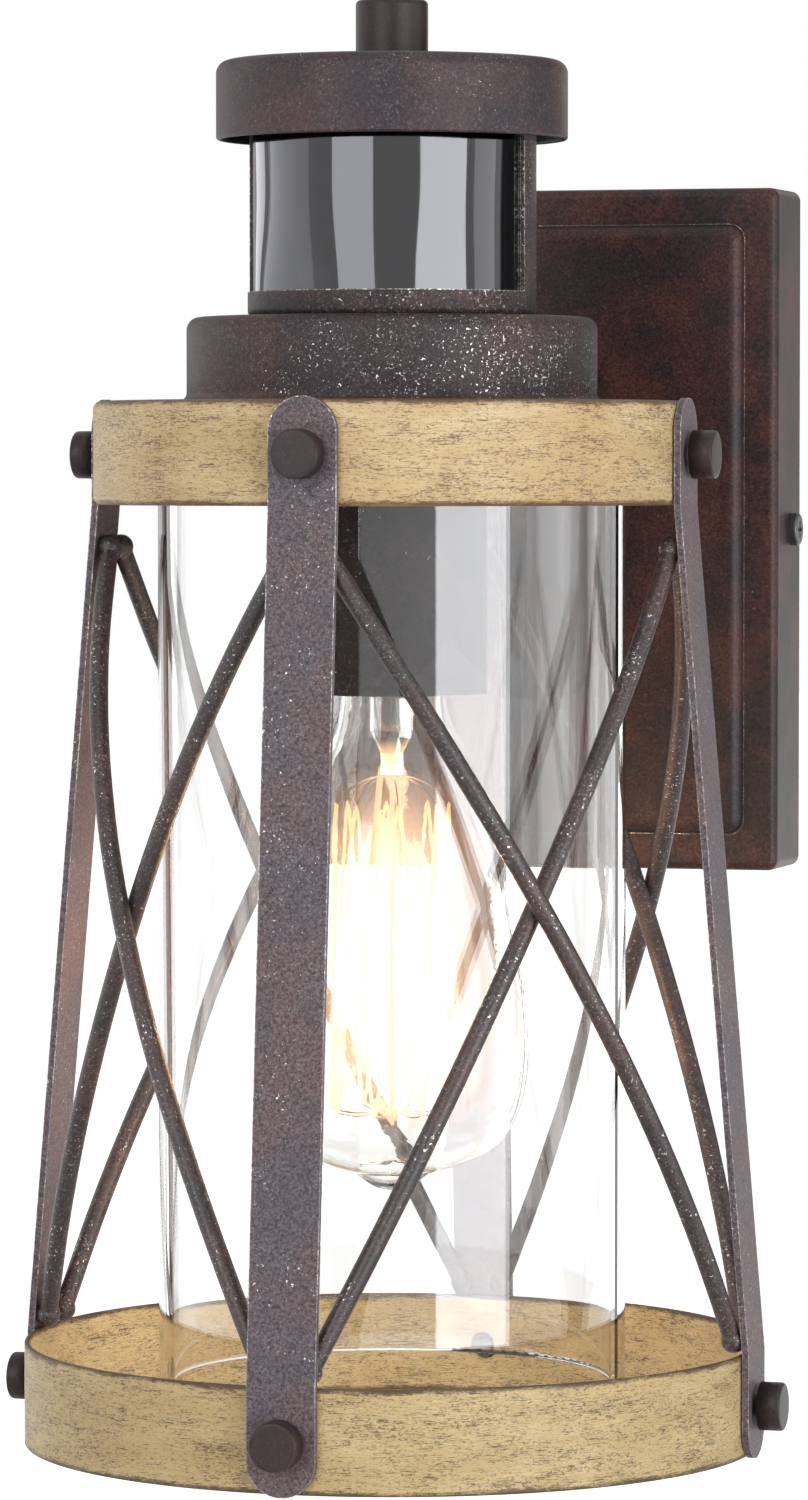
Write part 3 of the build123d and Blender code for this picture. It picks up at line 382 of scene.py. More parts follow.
# %% Patina group
mottle_per_metre = 1350.0

patina, ins, outs = new_group(
    "patina",
    {
        "Dark": colour(58, 50, 53),
        "Rust": colour(76, 54, 48),
        "Patch Size": 45.0,
        "Rust Amount": 0.5,
        "Contrast": 0.5,
    },
    {"Color": "NodeSocketColor", "Mottle": "NodeSocketFloat"},
)
clouds = grain(patina, ins.outputs["Vector"], ins.outputs["Patch Size"], 4.0, 0.6)
mottle = grain(patina, ins.outputs["Vector"], mottle_per_metre, 2.0, 0.75)
amount = calc(patina, "ADD", stretch(patina, clouds, 0.42, 0.62), calc(patina, "SUBTRACT", mottle, 0.5))
amount = calc(patina, "MULTIPLY", amount, ins.outputs["Rust Amount"], clamp=True)
body_colour = blend(patina, amount, ins.outputs["Dark"], ins.outputs["Rust"])
swing = calc(patina, "MULTIPLY", stretch(patina, mottle, 0.32, 0.68, -1.0, 1.0), ins.outputs["Contrast"])
shade = calc(patina, "ADD", 1.0, swing)
grey = add(patina, "ShaderNodeCombineColor", {0: shade, 1: shade, 2: shade}).outputs[0]
shaded = add(
    patina,
    "ShaderNodeMix",
    {0: 1.0, 6: body_colour, 7: grey},
    data_type="RGBA",
    blend_type="MULTIPLY",
)
patina.links.new(shaded.outputs[2], outs.inputs["Color"])
patina.links.new(mottle, outs.inputs["Mottle"])
print("Group made:", patina.name)

# %% [markdown]
# Silver flecks are tiny chips where bright metal or dust shows. They crowd together in some
# places and leave others bare, so a fine noise is cut off at a height that a coarse noise moves.
# `Edge` raises their number, which is how a rubbed edge is told to show more of them.

# %% Fleck group
fleck_height = 0.76      # of the fine noise, above which a fleck shows
density_share = 0.1      # how far a density of 1 lowers it
edge_share = 0.2         # how far an edge lowers it
crowd_swing = 0.06       # how far the crowding moves it
fleck_sharpness = 25.0

flecks, ins, outs = new_group(
    "flecks",
    {"Density": 0.5, "Edge": 0.0, "Size": 1900.0, "Crowding": 70.0},
    {"Mask": "NodeSocketFloat"},
)
fine = grain(flecks, ins.outputs["Vector"], ins.outputs["Size"], 1.5, 0.6, curl=0.8)
crowd = grain(flecks, ins.outputs["Vector"], ins.outputs["Crowding"], 2.0, 0.6)
crowd = stretch(flecks, crowd, 0.3, 0.7, -crowd_swing, crowd_swing)
lowered = calc(flecks, "MULTIPLY", ins.outputs["Density"], density_share)
cut = calc(flecks, "SUBTRACT", fleck_height, lowered)
cut = calc(flecks, "SUBTRACT", cut, crowd)
cut = calc(flecks, "SUBTRACT", cut, calc(flecks, "MULTIPLY", ins.outputs["Edge"], edge_share))
over = calc(flecks, "MULTIPLY", calc(flecks, "SUBTRACT", fine, cut), fleck_sharpness, clamp=True)
flecks.links.new(over, outs.inputs["Mask"])
print("Group made:", flecks.name)

# %% [markdown]
# Edges are where a finish wears, and where the bronze coat gets a painted highlight. The Bevel node
# looks at the surface round a point: where the rounded normal it gives differs from the true one,
# there is an edge nearby.

# %% Edge group
flat_alike = 0.985       # the two normals' product on an almost flat spot
sharp_alike = 0.85

edges, ins, outs = new_group("edges", {"Reach": 0.5 * mm}, {"Mask": "NodeSocketFloat"})
soft = add(edges, "ShaderNodeBevel", {"Radius": ins.outputs["Reach"]}, samples=4).outputs[0]
true = add(edges, "ShaderNodeNewGeometry").outputs["Normal"]
alike = add(edges, "ShaderNodeVectorMath", {0: soft, 1: true}, operation="DOT_PRODUCT")
worn = stretch(edges, alike.outputs["Value"], flat_alike, sharp_alike)
edges.links.new(worn, outs.inputs["Mask"])
print("Group made:", edges.name)


# %% [markdown]
# ## The dark bronze coat
#
# One function makes every variant of the coat. The patina gives the colour, a dense layer of dull
# specks makes it look dusted, and bright flecks turn small spots to bare metal, most of all along
# rubbed edges. Edges are also blended towards a lighter colour, which is a painted highlight, and
# on some pieces the bright flecks crowd towards the right, where the light falls, which is painted
# highlight too. A fine bump from the same noises breaks up the shine.

# %% Bronze coat
bare_metal = colour(210, 204, 200)
dull_speck = colour(128, 122, 124)
edge_highlight_colour = colour(150, 142, 142)
# Painted highlight: between these two places the bright flecks grow denser towards the right.
lit_side_start = axis.x - 35 * mm
lit_side_end = axis.x + 25 * mm
speck_density = 1.4
specks_per_metre = 1700.0
speck_crowding = 150.0
chips_per_metre = 1600.0
coat_relief = 0.06 * mm


def bronze(
    name,
    dark,
    rust,
    rust_amount=0.5,
    density=0.5,
    dust=0.5,
    patch=45.0,
    roughness=0.5,
    contrast=0.4,
    lit_side_shift=0.0,
    edge=1.0,
    edge_highlight=0.25,
    specular=0.25,
):
    """A hand-rubbed bronze powder coat, whose bright flecks can crowd to the lit right: painted
    highlight.
    """

    def build(tree, shader, place):
        base = use_group(
            tree,
            patina,
            place,
            Dark=dark,
            Rust=rust,
            Patch_Size=patch,
            Rust_Amount=rust_amount,
            Contrast=contrast,
        )
        rim = use_group(tree, edges, place).outputs["Mask"]
        side = add(tree, "ShaderNodeSeparateXYZ", {0: place}).outputs["X"]
        # Painted highlight: more bright flecks towards the lit right side.
        lit_side_density = stretch(tree, side, lit_side_start, lit_side_end, density - lit_side_shift, density + lit_side_shift)
        worn = calc(tree, "MULTIPLY", rim, edge)
        specks = use_group(
            tree,
            flecks,
            place,
            Density=speck_density,
            Edge=worn,
            Size=specks_per_metre,
            Crowding=speck_crowding,
        )
        chips = use_group(tree, flecks, place, Density=lit_side_density, Edge=worn, Size=chips_per_metre)
        chips = chips.outputs["Mask"]
        # Painted highlight: the coat is blended towards a lighter colour along edges, where light
        # catches them.
        coat = blend(tree, calc(tree, "MULTIPLY", rim, edge_highlight), base.outputs["Color"], edge_highlight_colour)
        dusted = blend(tree, calc(tree, "MULTIPLY", specks.outputs["Mask"], dust), coat, dull_speck)
        tint = blend(tree, chips, dusted, bare_metal)
        tree.links.new(tint, shader.inputs["Base Color"])
        tree.links.new(calc(tree, "MULTIPLY", chips, 0.85), shader.inputs["Metallic"])
        rough = calc(tree, "ADD", roughness - 0.1, calc(tree, "MULTIPLY", base.outputs["Mottle"], 0.2))
        rough = calc(tree, "SUBTRACT", rough, calc(tree, "MULTIPLY", chips, 0.15))
        tree.links.new(rough, shader.inputs["Roughness"])
        height = calc(tree, "ADD", base.outputs["Mottle"], calc(tree, "MULTIPLY", chips, 0.5))
        bump = add(tree, "ShaderNodeBump", {"Strength": 0.5, "Distance": coat_relief, "Height": height})
        tree.links.new(bump.outputs[0], shader.inputs["Normal"])
        shader.inputs["Specular IOR Level"].default_value = specular

    return painted(name, build)


finishes["bronze_plate"] = bronze(
    "bronze_plate",
    dark=colour(40, 31, 31),
    rust=colour(72, 44, 38),
    rust_amount=0.9,
    density=-0.5,
    dust=0.1,
    patch=60.0,
    roughness=0.42,
    contrast=0.55,
    edge=1.6,
)
finishes["bronze_cap"] = bronze(
    "bronze_cap",
    dark=colour(56, 48, 52),
    rust=colour(78, 59, 57),
    rust_amount=0.8,
    density=0.1,
    dust=0.35,
    lit_side_shift=0.3,
)
finishes["bronze_roof"] = bronze(
    "bronze_roof",
    dark=colour(52, 45, 46),
    rust=colour(76, 57, 53),
    rust_amount=0.8,
    density=0.6,
    dust=0.45,
    contrast=0.6,
    lit_side_shift=0.5,
)
finishes["bronze_strap"] = bronze(
    "bronze_strap",
    dark=colour(89, 81, 86),
    rust=colour(102, 83, 81),
    rust_amount=0.8,
    dust=0.7,
    contrast=0.6,
    edge_highlight=0.8,
)
finishes["bronze_rod"] = bronze(
    "bronze_rod",
    dark=colour(48, 40, 40),
    rust=colour(72, 51, 45),
    rust_amount=0.8,
    density=0.8,
    dust=0.45,
    roughness=0.42,
    contrast=0.6,
    specular=0.5,
)
# Painted shade: the cup hangs under the roof inside the glass, so its copy of the coat is much darker
# and less shiny.
finishes["bronze_cup_shaded"] = bronze(
    "bronze_cup_shaded",
    dark=colour(20, 15, 15),
    rust=colour(34, 24, 22),
    rust_amount=0.7,
    density=0.1,
    dust=0.2,
    contrast=0.3,
    specular=0.15,
)
finishes["bronze_turned"] = bronze(
    "bronze_turned",
    dark=colour(44, 35, 36),
    rust=colour(58, 41, 38),
    rust_amount=0.7,
    density=-0.4,
    dust=0.1,
    roughness=0.4,
    contrast=0.2,
    edge_highlight=0.5,
)
print("Bronze finishes:", [name for name in finishes if name.startswith("bronze")])


# %% [markdown]
# ## The burnished tan bands
#
# The two bands are steel painted to look like weathered wood: tan, combed along its length, with
# short brown dashes in the comb marks and a dirty line along both edges. Noise squeezed in height
# makes dashes that run round the band with no seam, and the band's own box says where its edges
# are.

# %% Tan coat
# Each layer of dashes: features to the metre, flatness, threshold and darkness.
dash_layers = ((230.0, 15, 0.6, 0.9), (520.0, 6, 0.6, 0.85), (1300.0, 2, 0.58, 0.75))
dash_sharpness = 14.0
dirt_wander = 1.8 * mm
dirt_start = 0.5 * mm    # from the band's edge, before it wanders
dirt_end = -0.7 * mm
dirt_strength = 0.75
comb_relief = 0.05 * mm


def tan_coat(name, node, pale, deep, dash):
    """Combed and burnished paint on a level band."""
    low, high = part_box(node)

    def build(tree, shader, place):
        level = add(tree, "ShaderNodeSeparateXYZ", {0: place}).outputs["Z"]
        drift = grain(tree, place, 30.0, 3.0, 0.6, squash=(1, 1, 3))
        comb = grain(tree, place, 260.0, 4.0, 0.7, squash=(1, 1, 12))
        crowd = grain(tree, place, 60.0, 3.0, 0.7, squash=(1, 1, 4))
        above_foot = calc(tree, "SUBTRACT", level, low.z)
        below_top = calc(tree, "SUBTRACT", high.z, level)
        from_edge = calc(tree, "MINIMUM", above_foot, below_top)
        wander = calc(tree, "MULTIPLY", crowd, dirt_wander)
        dirt = stretch(tree, calc(tree, "SUBTRACT", from_edge, wander), dirt_start, dirt_end)
        coat = blend(tree, stretch(tree, drift, 0.35, 0.65), pale, deep)
        coat = blend(tree, stretch(tree, comb, 0.42, 0.62, 0.0, 0.9), coat, deep)
        marks = 0.0
        for per_metre, flatness, threshold, darkness in dash_layers:
            dashes = grain(tree, place, per_metre, 3.0, 0.7, squash=(1, 1, flatness))
            limit = calc(tree, "SUBTRACT", threshold, stretch(tree, crowd, 0.35, 0.7, -0.02, 0.07))
            limit = calc(tree, "SUBTRACT", limit, calc(tree, "MULTIPLY", dirt, 0.15))
            over = calc(tree, "SUBTRACT", dashes, limit)
            layer = calc(tree, "MULTIPLY", over, dash_sharpness, clamp=True)
            marks = calc(tree, "MAXIMUM", marks, calc(tree, "MULTIPLY", layer, darkness))
        coat = blend(tree, marks, coat, dash)
        coat = blend(tree, calc(tree, "MULTIPLY", dirt, dirt_strength), coat, dash)
        tree.links.new(coat, shader.inputs["Base Color"])
        rough = stretch(tree, comb, 0.3, 0.7, 0.42, 0.6)
        tree.links.new(rough, shader.inputs["Roughness"])
        height = calc(tree, "SUBTRACT", comb, marks)
        bump = add(tree, "ShaderNodeBump", {"Strength": 0.3, "Distance": comb_relief, "Height": height})
        tree.links.new(bump.outputs[0], shader.inputs["Normal"])
        shader.inputs["Specular IOR Level"].default_value = 0.4

    return painted(name, build)


finishes["tan_upper"] = tan_coat(
    "tan_upper", "upper_band", colour(216, 194, 150), colour(195, 165, 116), colour(92, 66, 44)
)
finishes["tan_lower"] = tan_coat(
    "tan_lower", "lower_band", colour(208, 186, 138), colour(186, 160, 110), colour(72, 54, 38)
)
print("Band finishes:", [name for name in finishes if name.startswith("tan")])


# %% [markdown]
# ## Clear materials
#
# Real glass bends light, but it also keeps lamps out of a path tracer's shadows unless told
# otherwise. Each clear material therefore turns transparent for shadow rays, through the Light
# Path node, and stays true glass for everything that looks at it.

# %% Glass
def clear(name, tint, haze=0.02, ior=1.45, more=None):
    """Glass or clear plastic that lets lamps through; `more` adds to its tree."""

    def build(tree, shader, place):
        shader.inputs["Base Color"].default_value = tint
        shader.inputs["Transmission Weight"].default_value = 1.0
        shader.inputs["IOR"].default_value = ior
        smear = grain(tree, place, 18.0, 3.0, 0.6)
        tree.links.new(stretch(tree, smear, 0.3, 0.8, 0.0, haze), shader.inputs["Roughness"])
        if more:
            more(tree, shader, place)
        output = tree.nodes["Material Output"]
        lamp_rays = add(tree, "ShaderNodeLightPath").outputs["Is Shadow Ray"]
        passing = add(tree, "ShaderNodeBsdfTransparent", {"Color": tint})
        choice = {0: lamp_rays, 1: shader.outputs[0], 2: passing.outputs[0]}
        both = add(tree, "ShaderNodeMixShader", choice)
        tree.links.new(both.outputs[0], output.inputs["Surface"])

    return painted(name, build)


finishes["clear_glass"] = clear("clear_glass", (0.99, 0.995, 0.99, 1), ior=1.54)

# %% [markdown]
# The sensor cover is thin smoked plastic, moulded and a little wavy, so a slow swell bends what it
# mirrors. Its shine is a clear coat with a faint cool tint. The coat fades just under the cap, which
# is painted shade: the cap's shadow on the cover, drawn as less shine.

# %% Smoked cover
cover_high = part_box("sensor_cover")[1]
cap_shade_band = 3.5 * mm
swell_per_metre = 34.0
swell_height = 2.8 * mm


def polish_cover(tree, shader, place):
    level = add(tree, "ShaderNodeSeparateXYZ", {0: place}).outputs["Z"]
    edge_level = cover_high.z - cap_shade_band
    # Painted shade: the shine is cut back in a band just under the cap, as the cap's shadow.
    shine = stretch(tree, level, edge_level, edge_level - cap_shade_band, 0.35, 1.0)
    tree.links.new(shine, shader.inputs["Coat Weight"])
    shader.inputs["Coat IOR"].default_value = 1.5
    shader.inputs["Coat Roughness"].default_value = 0.06
    shader.inputs["Coat Tint"].default_value = (0.93, 0.94, 1.0, 1)
    swell = grain(tree, place, swell_per_metre, 0.0, squash=(1, 1, 0.7))
    bump = add(tree, "ShaderNodeBump", {"Strength": 1.0, "Distance": swell_height, "Height": swell})
    tree.links.new(bump.outputs[0], shader.inputs["Normal"])
    tree.links.new(bump.outputs[0], shader.inputs["Coat Normal"])


finishes["smoked_plastic"] = clear(
    "smoked_plastic", (0.05, 0.048, 0.055, 1), haze=0.1, more=polish_cover
)

# %% [markdown]
# A lit lamp has a halo. It is painted on: the bulb's glass is given a faint warm glow where it
# faces the viewer and beside the filament, though the glass is no lamp. The pinched end of the stem
# is given a far stronger painted glow, like an ember.

# %% Lamp glass and stem
filament_low, filament_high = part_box("bulb_filament")
stem_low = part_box("bulb_stem")[0]
unlit = (0, 0, 0, 1)
painted_halo_colour = (0.35, 0.2, 0.11, 1)
halo_narrowness = 9.0
painted_ember_colour = (1.0, 0.6, 0.26, 1)
ember_length = 9 * mm


# Painted glow on the bulb's glass, standing for the lamp's halo.
def painted_halo_glow(tree, shader, place):
    level = add(tree, "ShaderNodeSeparateXYZ", {0: place}).outputs["Z"]
    facing = add(tree, "ShaderNodeLayerWeight", {"Blend": 0.5}).outputs["Facing"]
    towards = calc(tree, "POWER", calc(tree, "SUBTRACT", 1.0, facing), halo_narrowness)
    above = stretch(tree, level, filament_high.z + 6 * mm, filament_high.z - 14 * mm)
    below = stretch(tree, level, filament_low.z - 6 * mm, filament_low.z + 12 * mm)
    glow = calc(tree, "MULTIPLY", calc(tree, "MULTIPLY", above, below), towards)
    tree.links.new(blend(tree, glow, unlit, painted_halo_colour), shader.inputs["Emission Color"])
    shader.inputs["Emission Strength"].default_value = 1.0


# Painted glow at the stem's pinched end, like an ember.
def painted_ember_glow(tree, shader, place):
    level = add(tree, "ShaderNodeSeparateXYZ", {0: place}).outputs["Z"]
    glow = stretch(tree, level, stem_low.z + ember_length, stem_low.z)
    tree.links.new(blend(tree, glow, unlit, painted_ember_colour), shader.inputs["Emission Color"])
    shader.inputs["Emission Strength"].default_value = 1.3


finishes["lamp_glass"] = clear("lamp_glass", (1.0, 0.99, 0.97, 1), more=painted_halo_glow)
finishes["stem_glass"] = clear("stem_glass", (1.0, 0.99, 0.97, 1), more=painted_ember_glow)
for name in ("lamp_glass", "stem_glass"):
    finishes[name].cycles.emission_sampling = "NONE"
print("Clear finishes made")


# %% [markdown]
# ## Plain finishes
#
# Screws, nuts, porcelain and the parts behind the sensor cover are small, and each is one
# colour with a little unevenness. One function with a few values covers them all.

# %% Plain finishes
plain_relief = 0.02 * mm


def plain(name, first, second, metallic=0.0, roughness=0.5, per_metre=600.0):
    """A plain finish with a fine unevenness in colour, shine and height."""

    def build(tree, shader, place):
        uneven = grain(tree, place, per_metre, 3.0, 0.6)
        tree.links.new(blend(tree, uneven, first, second), shader.inputs["Base Color"])
        rough = stretch(tree, uneven, 0.2, 0.8, roughness - 0.08, roughness + 0.08)
        tree.links.new(rough, shader.inputs["Roughness"])
        shader.inputs["Metallic"].default_value = metallic
        relief = {"Strength": 0.2, "Distance": plain_relief, "Height": uneven}
        bump = add(tree, "ShaderNodeBump", relief)
        tree.links.new(bump.outputs[0], shader.inputs["Normal"])

    return painted(name, build)


finishes["zinc_steel"] = plain("zinc_steel", colour(150, 150, 152), colour(182, 182, 184), 1.0, 0.38)
finishes["nickel_screw"] = plain("nickel_screw", colour(176, 174, 170), colour(206, 204, 200), 1.0, 0.28)
finishes["black_screw"] = plain("black_screw", colour(58, 56, 58), colour(112, 110, 110), 0.9, 0.36)
finishes["black_washer"] = plain("black_washer", colour(30, 29, 30), colour(46, 44, 46), 0.0, 0.55)
finishes["green_screw"] = plain("green_screw", colour(28, 92, 52), colour(40, 122, 70), 0.7, 0.4)
finishes["silicone"] = plain("silicone", colour(208, 206, 200), colour(226, 224, 220), 0.0, 0.6)
finishes["porcelain"] = plain("porcelain", colour(226, 222, 212), colour(240, 238, 230), 0.0, 0.18, 90.0)
finishes["brass"] = plain("brass", colour(178, 146, 84), colour(206, 176, 112), 1.0, 0.32)
finishes["solder"] = plain("solder", colour(150, 150, 150), colour(190, 190, 190), 1.0, 0.35)
finishes["black_insulator"] = plain("black_insulator", colour(24, 22, 24), colour(38, 34, 36), 0.0, 0.2)
finishes["dark_lens"] = plain("dark_lens", colour(30, 29, 32), colour(52, 50, 54), 0.0, 0.4)
finishes["black_plastic"] = plain("black_plastic", colour(26, 26, 28), colour(40, 40, 42), 0.0, 0.45)
finishes["board_green"] = plain("board_green", colour(20, 74, 44), colour(30, 96, 58), 0.0, 0.4)
finishes["photocell_red"] = plain("photocell_red", colour(150, 52, 40), colour(176, 74, 56), 0.0, 0.4)
finishes["relay_blue"] = plain("relay_blue", colour(30, 66, 130), colour(44, 84, 152), 0.0, 0.4)


# %% [markdown]
# The filament is what makes the light. It is hottest along its legs and a deeper orange at the
# top, where it hangs from cooler hooks, so its colour follows the height.

# %% Glowing filament
white_hot = (1.0, 0.84, 0.56, 1)
orange_hot = (1.0, 0.5, 0.2, 1)
cooler_length = 24 * mm


def build_filament(tree, shader, place):
    level = add(tree, "ShaderNodeSeparateXYZ", {0: place}).outputs["Z"]
    flicker = grain(tree, place, 160.0, 2.0)
    cool = stretch(tree, level, filament_high.z - cooler_length, filament_high.z)
    unrest = calc(tree, "MULTIPLY", calc(tree, "SUBTRACT", flicker, 0.5), 0.7)
    cool = calc(tree, "ADD", cool, unrest, clamp=True)
    glow = blend(tree, cool, white_hot, orange_hot)
    tree.links.new(glow, shader.inputs["Emission Color"])
    shader.inputs["Emission Strength"].default_value = 1.25
    shader.inputs["Base Color"].default_value = colour(120, 70, 40)
    shader.inputs["Roughness"].default_value = 0.6


finishes["glowing_filament"] = painted("glowing_filament", build_filament)
finishes["glowing_filament"].cycles.emission_sampling = "NONE"

# %% [markdown]
# The wires that hold the filament are dark. The filament's light on those in the middle is painted
# on as an orange glow near the axis, which fades to dark towards the hooks' ends.

# %% Lamp wires
lit_reach = 4 * mm       # from the axis
dark_reach = 10 * mm


def build_wires(tree, shader, place):
    flat = add(tree, "ShaderNodeVectorMath", {0: place, 1: (1, 1, 0)}, operation="MULTIPLY").outputs[0]
    away = add(tree, "ShaderNodeVectorMath", {0: flat, 1: axis}, operation="DISTANCE").outputs["Value"]
    lit = stretch(tree, away, dark_reach, lit_reach)
    uneven = grain(tree, place, 300.0, 2.0)
    wire_colour = blend(tree, uneven, colour(96, 72, 58), colour(132, 104, 86))
    tree.links.new(wire_colour, shader.inputs["Base Color"])
    # Painted glow: the filament's light on the middle wires, drawn as emission.
    hot = blend(tree, uneven, (1.0, 0.62, 0.3, 1), (1.0, 0.78, 0.5, 1))
    tree.links.new(blend(tree, lit, unlit, hot), shader.inputs["Emission Color"])
    shader.inputs["Emission Strength"].default_value = 0.85
    shader.inputs["Metallic"].default_value = 1.0
    shader.inputs["Roughness"].default_value = 0.4


finishes["support_wire"] = painted("support_wire", build_wires)
finishes["support_wire"].cycles.emission_sampling = "NONE"

# %% [markdown]
# ## Pieces that follow a rule
#
# Geometry Nodes build what repeats or follows a rule: the filament, its hooks and the cap nuts.
# A tree is set up by a function, its sizes are named inputs, and `carve` runs it once on an empty
# mesh and keeps only the plain mesh that comes out, so that no modifier is left on a piece.

# %% Helpers for geometry trees
def new_rule(name, inputs):
    """An empty geometry tree with named inputs; gives the tree and its input and output boxes."""
    tree = bpy.data.node_groups.new(name, "GeometryNodeTree")
    for label, kind in inputs.items():
        tree.interface.new_socket(label, in_out="INPUT", socket_type=kind)
    tree.interface.new_socket("Geometry", in_out="OUTPUT", socket_type="NodeSocketGeometry")
    return tree, tree.nodes.new("NodeGroupInput"), tree.nodes.new("NodeGroupOutput")


def close_rule(tree, outs, geometry, material):
    """Make the tree's result real, smooth and painted."""
    real = add(tree, "GeometryNodeRealizeInstances", {"Geometry": geometry}).outputs[0]
    soft = add(tree, "GeometryNodeSetShadeSmooth", {"Geometry": real}).outputs[0]
    paint = add(tree, "GeometryNodeSetMaterial", {"Geometry": soft, "Material": material}).outputs[0]
    tree.links.new(paint, outs.inputs[0])


def carve(name, tree, **values):
    """Run a geometry tree with values for its named inputs, and keep the mesh that it makes."""
    blank = bpy.data.meshes.new(name + "_source")
    source = bpy.data.objects.new(name + "_source", blank)
    bpy.context.scene.collection.objects.link(source)
    modifier = source.modifiers.new("rule", "NODES")
    modifier.node_group = tree
    items = [item for item in tree.interface.items_tree if item.in_out == "INPUT"]
    sockets = {item.name: item.identifier for item in items}
    for label, value in values.items():
        modifier[sockets[label.replace("_", " ")]] = value
    ready = source.evaluated_get(bpy.context.evaluated_depsgraph_get())
    mesh = bpy.data.meshes.new_from_object(ready)
    mesh.name = name
    bpy.data.objects.remove(source)
    bpy.data.meshes.remove(blank)
    piece = bpy.data.objects.new(name, mesh)
    bpy.context.scene.collection.objects.link(piece)
    print(name, "has", len(mesh.polygons), "faces")
    return piece


def wire_mesh(tree, curve, radius, sides=8):
    """A round wire along a curve, closed at its ends."""
    section = add(tree, "GeometryNodeCurvePrimitiveCircle", {"Resolution": sides, "Radius": radius})
    sweep = {"Curve": curve, "Profile Curve": section.outputs[0], "Fill Caps": True}
    return add(tree, "GeometryNodeCurveToMesh", sweep).outputs[0]


def point(tree, x, y, z):
    """A place from three numbers or sockets."""
    return add(tree, "ShaderNodeCombineXYZ", {0: x, 1: y, 2: z}).outputs[0]


# %% [markdown]
# The filament is one long wire that runs up and down between two rings of hooks. Going round the
# ring, its height is a triangular wave with rounded peaks: the arcsine of a sine that is held a
# little under one. The angle hurries at the peaks and waits in between, which stands the legs
# upright. A slow noise makes the legs waver, as thin hot wire does.

# %% Filament
filament_loops = 8
points_per_loop = 56
peak = 0.997             # how sharp the bends are: 1 is a point
peak_hurry = 0.075       # in loops
waver_reach = 1.2 * mm
top_ring = 13.2 * mm
bottom_ring = 14.3 * mm

rule, ins, outs = new_rule(
    "filament_rule",
    {
        "Top Radius": "NodeSocketFloat",
        "Bottom Radius": "NodeSocketFloat",
        "Top": "NodeSocketFloat",
        "Bottom": "NodeSocketFloat",
        "Wire": "NodeSocketFloat",
        "Material": "NodeSocketMaterial",
    },
)
points = filament_loops * points_per_loop
ring = add(rule, "GeometryNodeCurvePrimitiveCircle", {"Resolution": points}).outputs[0]
way = calc(rule, "MULTIPLY", add(rule, "GeometryNodeSplineParameter").outputs["Factor"], filament_loops)
turn = calc(rule, "MULTIPLY", way, 2 * pi)
hurry = calc(rule, "MULTIPLY", calc(rule, "SINE", calc(rule, "MULTIPLY", turn, 2.0)), peak_hurry)
angle = calc(rule, "MULTIPLY", calc(rule, "ADD", way, hurry), 2 * pi / filament_loops)
swing = calc(rule, "MULTIPLY", calc(rule, "SINE", calc(rule, "SUBTRACT", turn, pi / 2)), peak)
swing = calc(rule, "DIVIDE", calc(rule, "ARCSINE", swing), asin(peak))
share = calc(rule, "MULTIPLY_ADD", swing, 0.5, 0.5)
radii = {2: ins.outputs["Bottom Radius"], 3: ins.outputs["Top Radius"]}
reach = add(rule, "ShaderNodeMix", {0: share, **radii})
height = add(rule, "ShaderNodeMix", {0: share, 2: ins.outputs["Bottom"], 3: ins.outputs["Top"]})
sample = point(rule, calc(rule, "MULTIPLY", angle, 2.5), calc(rule, "MULTIPLY", share, 2.2), 0.0)
waver = add(rule, "ShaderNodeTexNoise", {"Vector": sample, "Scale": 1.6, "Detail": 1.0}).outputs["Fac"]
waver = calc(rule, "MULTIPLY", calc(rule, "SUBTRACT", waver, 0.5), waver_reach)
radius = calc(rule, "ADD", reach.outputs[0], waver)
spot = point(
    rule,
    calc(rule, "MULTIPLY_ADD", radius, calc(rule, "SINE", angle), axis.x),
    calc(rule, "MULTIPLY_ADD", radius, calc(rule, "COSINE", angle), axis.y),
    height.outputs[0],
)
bent = add(rule, "GeometryNodeSetPosition", {"Geometry": ring, "Position": spot}).outputs[0]
close_rule(rule, outs, wire_mesh(rule, bent, ins.outputs["Wire"]), ins.outputs["Material"])

filament = carve(
    "filament_strands",
    rule,
    Top_Radius=top_ring,
    Bottom_Radius=bottom_ring,
    Top=filament_high.z - 3.2 * mm,
    Bottom=filament_low.z + 0.6 * mm,
    Wire=0.42 * mm,
    Material=finishes["glowing_filament"],
)

# %% [markdown]
# The hooks are fine wires in two rings, one at the top and one at the bottom of the filament, and
# both spring from a thin rod down the middle. A hook is one short bent curve that is copied round
# the axis, once for each loop. Two thicker leads bring the current from the glass stem, and a bead
# closes the rod's lower end.

# %% Hooks, rod and leads
support_low, support_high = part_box("bulb_supports")
hook_wire = 0.16 * mm
hook_root = 0.6 * mm     # from the axis
hook_bend = 0.62         # of the way out
rod_wire = 0.55 * mm
lead_wire = 0.75 * mm
lead_length = 21 * mm
button_radius = 1.7 * mm
button_rise = 2.2 * mm

rule, ins, outs = new_rule(
    "hook_rule",
    {
        "Top": "NodeSocketFloat",
        "Bottom": "NodeSocketFloat",
        "Crown": "NodeSocketFloat",
        "Foot": "NodeSocketFloat",
        "Material": "NodeSocketMaterial",
    },
)


